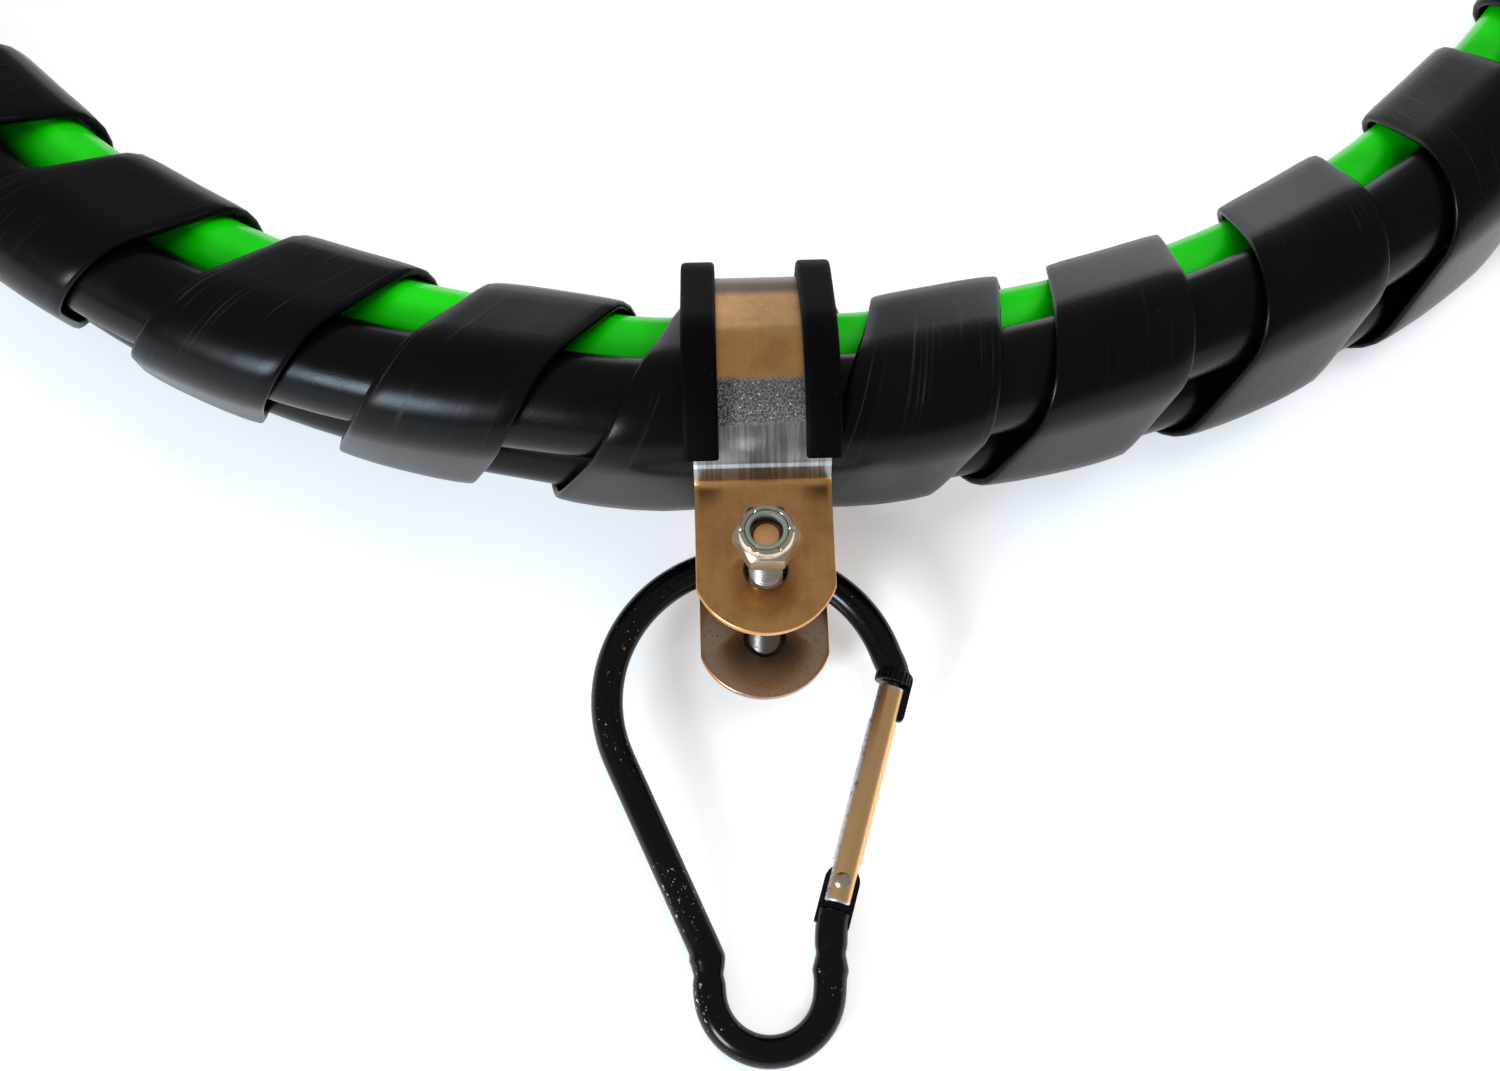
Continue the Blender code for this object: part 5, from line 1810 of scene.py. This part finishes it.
@dataclass
class Carabiner:
    """Pear-shaped rod body with a sprung gate tube on a pin."""

    rod_radius: float = 0.0030
    ring_radius: float = 0.0270
    toe_radius: float = 0.0108
    toe_distance: float = 0.0536
    arm_angle: float = math.radians(21.3)
    ring_x: float = -0.0030
    ring_y: float = -0.0492
    ring_rest: float = 0.0009
    ring_yaw: float = math.radians(1.95)
    toe_rest: float = 0.0002
    gate_radius: float = 0.00265
    gate_wall: float = 0.0011
    gate_top: tuple[float, float] = (0.0265, 0.0006)
    gate_foot: tuple[float, float] = (0.0131, -0.0391)
    pin_inset: float = 0.0041
    foot_gap: float = 0.0011
    top_gap: float = 0.0005
    collar_length: float = 0.0025
    tongue_thickness: float = 0.0018
    tongue_width: float = 0.0066
    nose_length: float = 0.0062
    nose_lip: float = 0.0004
    pin_radius: float = 0.0012
    flare: tuple[float, float] = (0.00025, 0.0016)
    swell: tuple[float, float] = (0.00030, 0.0011)
    notch: tuple[float, float] = (0.00028, 0.0010)
    notch_past_swell: float = 0.0030
    tip_easing: float = 0.0005
    band_inside: float = 0.0024
    band_outside: float = 0.0035
    band_span: tuple[float, float] = (0.0006, 0.0030)
    knurl_depth: float = 0.00022
    rod_steps: int = 420

    def __post_init__(self) -> None:
        """Settle the two frames."""
        back = LOWER_EAR + STRAP_THICKNESS / 2 + self.ring_rest + self.rod_radius
        toe = self.toe_rest + self.rod_radius
        tilt = math.asin((back - toe) / (self.ring_radius + self.toe_distance + self.toe_radius))
        height = back - self.ring_radius * math.sin(tilt)
        self.plane = (Matrix.Translation(SHIFT + Vector((self.ring_x, self.ring_y, height)))
                      @ Matrix.Rotation(tilt, 4, "X") @ Matrix.Rotation(self.ring_yaw, 4, "Z"))
        span = Vector(self.gate_top) - Vector(self.gate_foot)
        self.gate_length = span.length
        self.along = span.normalized()
        pin = Vector(self.gate_foot) + self.along * self.pin_inset
        turn = math.atan2(-self.along.x, self.along.y)
        self.gate_frame = (Matrix.Translation((pin.x, pin.y, 0.0))
                           @ Matrix.Rotation(turn, 4, "Z"))

    def rod_line(self) -> np.ndarray:
        """The rod's middle line, evenly spaced, from the nose round to the fork.

        Returns:
            The points in the carabiner's plane, one a row.
        """
        nose = Vector(self.gate_top) + self.along * self.top_gap
        fork = Vector(self.gate_foot) - self.along * self.foot_gap
        nose_root = nose + self.along * self.collar_length
        fork_root = fork - self.along * self.collar_length
        start = math.atan2(nose_root.y + self.collar_length, nose_root.x)
        ring = arc((0.0, 0.0), self.ring_radius, start, math.pi + self.arm_angle, 90)
        knee = -(self.ring_radius - self.toe_radius * math.cos(self.arm_angle)
                 ) / math.sin(self.arm_angle)
        lean = math.atan2(fork_root.x - self.toe_radius, fork_root.y + self.toe_distance)
        toe = arc((0.0, -self.toe_distance), self.toe_radius, -math.pi, -lean, 60)
        points = np.array([nose[:], nose_root[:], *ring, (-self.toe_radius, knee), *toe,
                           fork_root[:], fork[:]])
        runs = runs_along(points)
        line = read_along(np.linspace(0.0, runs[-1], self.rod_steps), runs, points)
        window = 9
        wide = np.pad(line, ((window // 2, window // 2), (0, 0)), mode="edge")
        soft = np.stack([np.convolve(wide[:, axis], np.ones(window) / window, "valid")
                         for axis in (0, 1)], 1)
        soft[:window // 2 + 1], soft[-window // 2:] = line[:window // 2 + 1], line[-window // 2:]
        return soft

    def rod(self) -> Form:
        """The rod, with a flared nose, small swells beside the toe and a notch.

        Returns:
            The closed form.
        """
        line = self.rod_line()
        runs = runs_along(line)
        slope = as_units(np.gradient(line, axis=0))
        side = np.stack([slope[:, 1], -slope[:, 0]], 1)
        near_toe = [float(runs[np.argmin(np.linalg.norm(line - np.array(spot), axis=1))])
                    for spot in ((-self.toe_radius, -0.0475), (self.toe_radius, -0.0505))]

        def place(along: np.ndarray, around: np.ndarray) -> tuple[np.ndarray, np.ndarray]:
            """Points on the rod.

            Args:
                along: Shares of the way along, from 0 to 1.
                around: Shares of the way round the section, from 0 to 1.

            Returns:
                The points, and where each lies in the piece's own frame.
            """
            run = along * runs[-1]
            angle = around * math.tau
            extra = hump(run, self.flare)
            for middle in near_toe:
                extra += hump(run - middle, self.swell)
                extra -= hump(run - middle - self.notch_past_swell, self.notch)
            end = np.clip(np.minimum(run, runs[-1] - run) / self.tip_easing, 0, 1)
            reach = (self.rod_radius + extra) * np.sqrt(np.clip(1 - (1 - end) ** 2 * 0.35, 0, 1))
            flat = (read_along(run, runs, line)
                    + read_along(run, runs, side) * (reach * np.cos(angle))[:, None])
            points = np.column_stack([flat, reach * np.sin(angle)])
            return points, points.copy()

        return rolled(self.rod_steps, 32, place)

    def tongues(self) -> list[Form]:
        """The body's tongues at the gate's foot and nose, and the nose's knurled band.

        Returns:
            The closed forms, in the gate's frame.
        """
        half = self.tongue_thickness / 2
        low = -self.pin_inset - self.foot_gap - self.rod_radius
        wide = self.tongue_width / 2
        foot = [(-wide, low), (wide, low), *arc((0.0, 0.0), wide, 0.0, math.pi, 21)]
        top = self.gate_length - self.pin_inset
        inner, outer = self.gate_radius / 2, wide + self.nose_lip
        nose = eased([(inner, top - self.nose_length), (outer, top - self.nose_length),
                      (outer, top + self.rod_radius), (inner, top + self.rod_radius)], 0.0012)
        forms = [plate(foot, -half, half, 0.00025), plate(nose, -half, half, 0.00025)]
        near, far = (top + end for end in self.band_span)
        band = turned(eased([(self.band_inside, near), (self.band_outside, near),
                             (self.band_outside, far), (self.band_inside, far)], 0.0004), 60,
                      closed=True)
        for vert in band.verts:
            reach = math.hypot(vert.co.x, vert.co.y)
            groove = math.cos(20 * math.atan2(vert.co.y, vert.co.x)) > 0.3
            if groove and reach > self.rod_radius:
                draw_in(vert, 1 - self.knurl_depth / reach)
        forms.append(moved(band, Matrix.Rotation(-math.pi / 2, 4, "X")))
        return forms

    def gate(self) -> Form:
        """The gate tube, slotted at both ends for the body's tongues.

        Returns:
            The form, in the gate's frame.
        """
        foot = -self.pin_inset
        top = foot + self.gate_length
        bore = self.gate_radius - self.gate_wall
        profile = eased([(bore, foot), (self.gate_radius, foot), (self.gate_radius, top),
                         (bore, top)], 0.0005, 3)
        tube = moved(turned(profile, 48, closed=True), Matrix.Rotation(-math.pi / 2, 4, "X"))
        half = self.tongue_thickness / 2 + CLEARANCE
        wide = 2 * self.gate_radius
        pivot = self.tongue_width / 2 + 2 * CLEARANCE
        lip = top - self.nose_length - 2 * CLEARANCE
        for low, high in ((foot - wide, pivot), (lip, top + wide)):
            slot = plate([(-wide, low), (wide, low), (wide, high), (-wide, high)], -half, half)
            tube = combined(tube, slot, "DIFFERENCE")
        return tube

    def pin(self) -> Form:
        """The gate's pin, with a dome on each end.

        Returns:
            The form, with Z along the pin.
        """
        tall = self.gate_radius + 0.00045
        flat = self.gate_radius - 0.0002
        dome = [(0.0, tall), (0.0006, tall - 0.00006), (0.0011, tall - 0.00022),
                (0.00148, tall - 0.0005), (0.00152, flat), (self.pin_radius, flat)]
        return turned([*dome, *[(radius, -height) for radius, height in reversed(dome)]], 32)

    def build(self) -> None:
        """Build and dress the carabiner."""
        body = [self.rod()] + [moved(form, self.gate_frame) for form in self.tongues()]
        for form in body[1:]:
            mark_local(form)
        put(joined(body), "carabiner_body", "rod", COAT, self.plane, 40.0, "carabiner")
        place = self.plane @ self.gate_frame
        put(self.pin(), "gate_pin", "domed", PIN, place, body="carabiner")
        put(self.gate(), "gate_tube", "slotted", GATE, place, 40.0, "gate")


# ---------------------------------------------------------------- hose ends
@dataclass(frozen=True)
class RingedSleeve:
    """Tapered rubber sleeve with grip rings, thin end first.

    Attributes:
        inner: Radius of its bore.
        tip: Radius over the rings at the thin end.
        radius: Radius at the thick end.
        length: Its length.
        rings: Number of rings.
        span: Where a ring starts and ends, as shares of its stretch.
        groove: Depth between the rings.
        thin_step: How much less the thin end's rim reaches.
        thick_rim: Length of the thick end's rim.
        sides: Steps round it.
    """

    inner: float
    tip: float
    radius: float
    length: float
    rings: int
    span: tuple[float, float]
    groove: float
    thin_step: float
    thick_rim: float
    sides: int

    def form(self, front: float) -> Form:
        """Make the sleeve.

        Args:
            front: Height of its thick end.

        Returns:
            The closed form.
        """
        back = front - self.length
        outer: Outline = [(self.tip - self.thin_step, back)]
        for count in range(self.rings):
            low, high = (back + self.length * (count + share) / self.rings
                         for share in self.span)
            reach = self.tip + (self.radius - self.tip) * (count + 0.5) / self.rings
            outer += [(reach - self.groove, low), (reach, low + 0.0004), (reach, high - 0.0004),
                      (reach - self.groove, high)]
        outer += [(self.radius, front - self.thick_rim), (self.radius, front)]
        return turned(eased([(self.inner, back), *outer, (self.inner, front)], 0.0003, 2),
                      self.sides, closed=True)


@dataclass
class HoseEnd:
    """Bend sleeve, crimped ferrule and swivel fitting on one hose end."""

    place: Matrix
    label: str
    hose_radius: float = 0.009525
    sleeve: RingedSleeve = RingedSleeve(0.009525 + 0.0002, 0.0112, 0.0126, 0.040, 9,
                                        (0.15, 0.72), 0.0007, 0.0008, 0.0008, 40)
    ferrule_length: float = 0.028
    ferrule_radius: float = 0.0122
    ferrule_wall: float = 0.0025
    stem_neck: float = 0.0050
    flange_radius: float = 0.0076
    flange: float = 0.0024
    across: float = 0.0222
    hex_length: float = 0.0125
    lip: float = 0.0020
    gap: float = 0.0005
    thread_radius: float = 0.0104
    thread_length: float = 0.0160
    thread_pitch: float = 0.0018
    taper: float = 0.0005
    bore: float = 0.0095 / 2

    def ferrule(self) -> Form:
        """Ferrule with crimped bands pressed in eight flats.

        Returns:
            The form, with Z out along the line.
        """
        inner, hole = self.hose_radius + 0.0002, self.stem_neck + CLEARANCE
        face = CLEARANCE + self.ferrule_wall
        low, wide = -self.ferrule_length, self.ferrule_radius
        heights = np.linspace(low + 0.0012, face - 0.0012, 40)
        profile = [(inner, low), (wide - 0.0008, low), *[(wide, float(z)) for z in heights],
                   (wide - 0.0008, face), (hole, face), (hole, CLEARANCE), (inner, CLEARANCE)]
        work = turned(profile, 64, closed=True)
        for vert in work.verts:
            reach = math.hypot(vert.co.x, vert.co.y)
            if reach < wide - 0.0002:
                continue
            band = math.sin((vert.co.z - low) / self.ferrule_length * math.pi * 3) ** 2
            angle = (math.atan2(vert.co.y, vert.co.x) % (math.tau / 8)) - math.tau / 16
            flat = wide * math.cos(math.tau / 16) / math.cos(angle)
            pressed = wide - band * (0.0005 + max(0.0, wide - flat) * 0.8)
            draw_in(vert, pressed / reach)
        return work

    def swivel(self) -> Form:
        """Swivel fitting: chamfered hexagon, tapered pipe thread and through bore.

        Returns:
            The form, with Z out along the line.
        """
        back = CLEARANCE + self.ferrule_wall + self.gap
        lip = back + self.lip
        cavity = back + self.lip + self.gap + self.flange + self.gap
        shoulder = back + self.hex_length
        mouth = shoulder + self.thread_length
        neck, room = self.stem_neck + CLEARANCE, self.flange_radius + CLEARANCE
        wide, rim = self.across / math.sqrt(3), self.across / 2 * 0.97
        core = self.thread_radius - 0.0012
        profile = [(neck, back), (rim, back), (wide, back + 0.0010), (wide, shoulder - 0.0010),
                   (rim, shoulder), (core, shoulder), (core - self.taper, mouth - 0.0006),
                   (core - self.taper - 0.0006, mouth), (self.bore + 0.0006, mouth),
                   (self.bore, mouth - 0.0006), (self.bore, cavity), (room, cavity), (room, lip),
                   (neck, lip)]
        body = hexed(profile, self.across, back, mouth)
        thread = threaded(self.thread_radius, 0.0011, self.thread_pitch, shoulder + 0.0012,
                          mouth - 0.0010, 36, self.taper)
        hollow = turned([(0, shoulder - 0.002), (core - 0.0007, shoulder - 0.002),
                         (core - 0.0007, mouth + 0.002), (0, mouth + 0.002)], 48)
        return joined([body, combined(thread, hollow, "DIFFERENCE")])

    def build(self) -> list[bpy.types.Object]:
        """Build and dress the fittings.

        Returns:
            The pieces that were made.
        """
        name = self.label
        return [put(self.sleeve.form(-self.ferrule_length - CLEARANCE), f"sleeve_{name}",
                    "ringed", SLEEVE, self.place, 50.0),
                put(self.ferrule(), f"ferrule_{name}", "crimped", BRASS, self.place, 40.0),
                put(self.swivel(), f"swivel_{name}", "threaded", BRASS, self.place, 30.0,
                    f"swivel_{name}_body")]


# ---------------------------------------------------------------- cable ends
@dataclass
class CablePlug:
    """Boot, gland nut, shell, block and terminals on one cable end."""

    place: Matrix
    label: str
    cable_radius: float = 0.0075
    radius: float = 0.0215
    wall: float = 0.0030
    length: float = 0.062
    shoulder: float = 0.006
    neck_radius: float = 0.0150
    neck_length: float = 0.012
    cable_depth: float = 0.008
    key_width: float = 0.006
    key_height: float = 0.0020
    key_length: float = 0.040
    block_length: float = 0.028
    block_recess: float = 0.022
    circle: float = 0.0115
    terminal_radius: float = 0.0026
    terminal_out: float = 0.014
    terminals: int = 6
    gland_length: float = 0.013
    gland_across: float = 0.0260
    boot: RingedSleeve = RingedSleeve(0.0075 + 0.0002, 0.0095, 0.0112, 0.042, 10,
                                      (0.12, 0.66), 0.0009, 0.0006, 0.0009, 36)
    rib_count: int = 24

    def __post_init__(self) -> None:
        """Settle the plug's faces along the cable."""
        self.back = -self.cable_depth
        self.mouth = self.back + self.neck_length + self.shoulder + self.length

    def gland(self) -> Form:
        """Chamfered gland nut.

        Returns:
            The form, with Z out along the cable.
        """
        inner, front = self.cable_radius + CLEARANCE, self.back - CLEARANCE
        low = front - self.gland_length
        wide, rim = self.gland_across / math.sqrt(3), self.gland_across / 2 * 0.97
        profile = [(inner, low), (rim, low), (wide, low + 0.0014), (wide, front - 0.0008),
                   (rim, front), (inner, front)]
        return soften(hexed(profile, self.gland_across, low, front), 0.0002, 1, 50.0)

    def shell(self) -> Form:
        """Plug shell with grip ribs round its middle and a key on top.

        Returns:
            The form, with Z out along the cable.
        """
        inner, room = self.cable_radius + CLEARANCE, self.radius - self.wall
        neck = self.back + self.neck_length
        wide = neck + self.shoulder
        floor = self.mouth - self.block_recess - self.block_length - CLEARANCE
        outer = self.radius - 0.0006
        body = turned(eased([(inner, self.back), (self.neck_radius, self.back),
                             (self.neck_radius, neck), (outer, wide), (outer, self.mouth - 0.006),
                             (self.radius, self.mouth - 0.005), (self.radius, self.mouth),
                             (room, self.mouth), (room, floor), (inner, floor)], 0.0009), 72,
                      closed=True)
        half = self.key_width / 2
        key = plate([(self.radius - self.wall / 2, -half), (self.radius + self.key_height, -half),
                     (self.radius + self.key_height, half), (self.radius - self.wall / 2, half)],
                    self.mouth - self.wall - self.key_length, self.mouth - self.wall, 0.0006)
        ribs = []
        for count in range(self.rib_count):
            angle = math.tau * (count + 0.5) / self.rib_count
            rib = plate(eased([(outer - 0.0006, -0.0009), (self.radius, -0.0006),
                               (self.radius, 0.0006), (outer - 0.0006, 0.0009)], 0.0003, 1),
                        wide + 0.002, wide + 0.024, 0.0002)
            if abs(math.sin(angle / 2)) > 0.12:
                ribs.append(moved(rib, Matrix.Rotation(angle, 4, "Z")))
        return joined([body, key, *ribs])

    def terminal(self, x: float, y: float) -> Form:
        """One split pin with a rounded tip.

        Args:
            x: Its place along the plug's X axis.
            y: Its place along the plug's Y axis.

        Returns:
            The form, with Z out along the cable.
        """
        front = self.mouth - self.block_recess + self.terminal_out
        back = self.mouth - self.block_recess - self.block_length / 2 + CLEARANCE
        reach = self.terminal_radius
        pin = turned([(0, back), (reach, back), (reach, front - 0.0012),
                      (reach * 0.86, front - 0.0005), (reach * 0.55, front - 0.0001),
                      (0, front)], 28)
        split = plate([(-0.00035, -0.004), (0.00035, -0.004), (0.00035, 0.004),
                       (-0.00035, 0.004)], front - 0.0075, front + 0.001)
        return moved(combined(pin, split, "DIFFERENCE"), Matrix.Translation((x, y, 0.0)))

    def build(self) -> list[bpy.types.Object]:
        """Build and dress the plug.

        Returns:
            The pieces that were made.
        """
        name = self.label
        boot = self.boot.form(self.back - self.gland_length - 2 * CLEARANCE)
        made = [put(boot, f"boot_{name}", "ringed", SLEEVE, self.place, 50.0),
                put(self.gland(), f"gland_{name}", "chamfered", PLUG, self.place, 30.0),
                put(self.shell(), f"plug_{name}", "ribbed", PLUG, self.place, 40.0)]
        ring = arc((0.0, 0.0), self.circle, 0.0, math.tau * (self.terminals - 1)
                   / self.terminals, self.terminals)
        for number, (x, y) in enumerate([(0.0, 0.0), *ring]):
            made.append(put(self.terminal(x, y), f"terminal_{name}_{number}", "split", BRASS,
                            self.place, 40.0))
        return made


# ---------------------------------------------------------------- studio
@dataclass
class Studio:
    """Camera, floor and soft light."""

    camera_place: Vector = field(default_factory=lambda: Vector((0.04366, -0.45538, 0.3655)))
    camera_target: Vector = field(default_factory=lambda: Vector((0.04795, -0.31004, 0.0280)))
    lens: float = 48.0
    floor_size: float = 16.0
    sky: Colour = (0.34, 0.34, 0.34, 1.0)

    def camera(self) -> None:
        """Set the camera at the photograph's viewing angle."""
        made = link("camera", bpy.data.cameras.new("camera"))
        made.data.lens = self.lens
        made.data.sensor_width = 36.0
        made.data.clip_start = 0.01
        made.location = self.camera_place
        aim = self.camera_target - self.camera_place
        made.rotation_euler = aim.to_track_quat("-Z", "Y").to_euler()
        bpy.context.scene.camera = made

    def floor(self) -> None:
        """Lay the pale floor just under the object."""
        work = bmesh.new()
        bmesh.ops.create_grid(work, x_segments=1, y_segments=1, size=self.floor_size / 2)
        bmesh.ops.translate(work, vec=(0, 0, -0.0002), verts=work.verts)
        mesh = as_mesh(work, "floor")
        shader = Shader("floor_white")
        mottle = shader.noise(shader.object_place(), 3.0, 2.0)
        tone = shader.mix(mottle, (0.94, 0.94, 0.94, 1.0), (0.96, 0.96, 0.96, 1.0))
        seen = [shader.node("ShaderNodeLightPath", output=f"Is {ray} Ray")
                for ray in ("Camera", "Glossy", "Transmission")]
        lift = shader.mix(seen[0] + seen[1] + seen[2], (0.0, 0.0, 0.0, 1.0),
                          (0.35, 0.35, 0.35, 1.0))
        mesh.materials.append(shader.surface({"Base Color": tone, "Roughness": 0.9,
                                              "Specular IOR Level": 0.2,
                                              "Emission Color": lift,
                                              "Emission Strength": 1.0}))
        made = link("floor", mesh)

    def lamp(self, name: str, place: tuple[float, float, float], target: Vector, size: float,
             power: float, colour: tuple[float, float, float] = (1.0, 1.0, 1.0),
             mirrored: bool = True) -> None:
        """Hang one soft square lamp.

        Args:
            name: Its name.
            place: Where it hangs.
            target: What it points at.
            size: Its side.
            power: Its power in watts.
            colour: Its colour.
            mirrored: Whether glossy surfaces mirror it.
        """
        light = bpy.data.lights.new(name, "AREA")
        light.size = size
        light.energy = power
        light.color = colour
        made = link(name, light)
        made.location = place
        made.visible_glossy = mirrored
        made.rotation_euler = (target - Vector(place)).to_track_quat("-Z", "Y").to_euler()

    def build(self) -> None:
        """Set the camera, the floor, the sky and the lamps."""
        self.camera()
        self.floor()
        world = bpy.data.worlds.new("studio")
        world.use_nodes = True
        world.node_tree.nodes["Background"].inputs["Color"].default_value = self.sky
        bpy.context.scene.world = world
        middle = Vector((0.05, -0.25, 0.02))
        self.lamp("key", (0.60, 0.30, 1.60), middle, 1.4, 17.0, mirrored=False)
        self.lamp("fill", (-0.50, 0.90, 1.4), middle, 1.0, 4.0, (1.0, 0.98, 0.95), False)
        self.lamp("window", (-0.90, -1.20, 0.62), middle, 0.42, 22.0, (0.70, 0.85, 1.0))
        bpy.context.scene.view_settings.view_transform = "Standard"


def dress_kept_solids() -> None:
    """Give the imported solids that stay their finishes."""
    for name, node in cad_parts.items():
        finish = {"stem": KEPT_STEM, "block": KEPT_BLOCK}.get(name.split("_")[0])
        if finish and not node.hide_render:
            node.data.materials.clear()
            node.data.materials.append(finish.material())
            LOG.info("%s kept with finish %s", name, finish.name)


def main() -> None:
    """Build the whole scene."""
    logging.basicConfig(level=logging.INFO, format="%(message)s")
    Studio().build()
    route = Route()
    lines = Lines(route)
    made = lines.build()
    SpiralWrap(route).build()
    Clamp(route).build()
    Carabiner().build()
    for side in Side:
        for line in ("hose_upper", "hose_lower"):
            label = f"{line.replace('hose_', '')}_{side.label}"
            HoseEnd(route.end_frame(line, side), label).build()
        CablePlug(route.end_frame("power_cable", side),
                                         side.label).build()
    dress_kept_solids()
    lines.declare("hose_upper")
    lines.declare("hose_lower")
    lines.declare("power_cable")


if __name__ == "__main__":
    main()
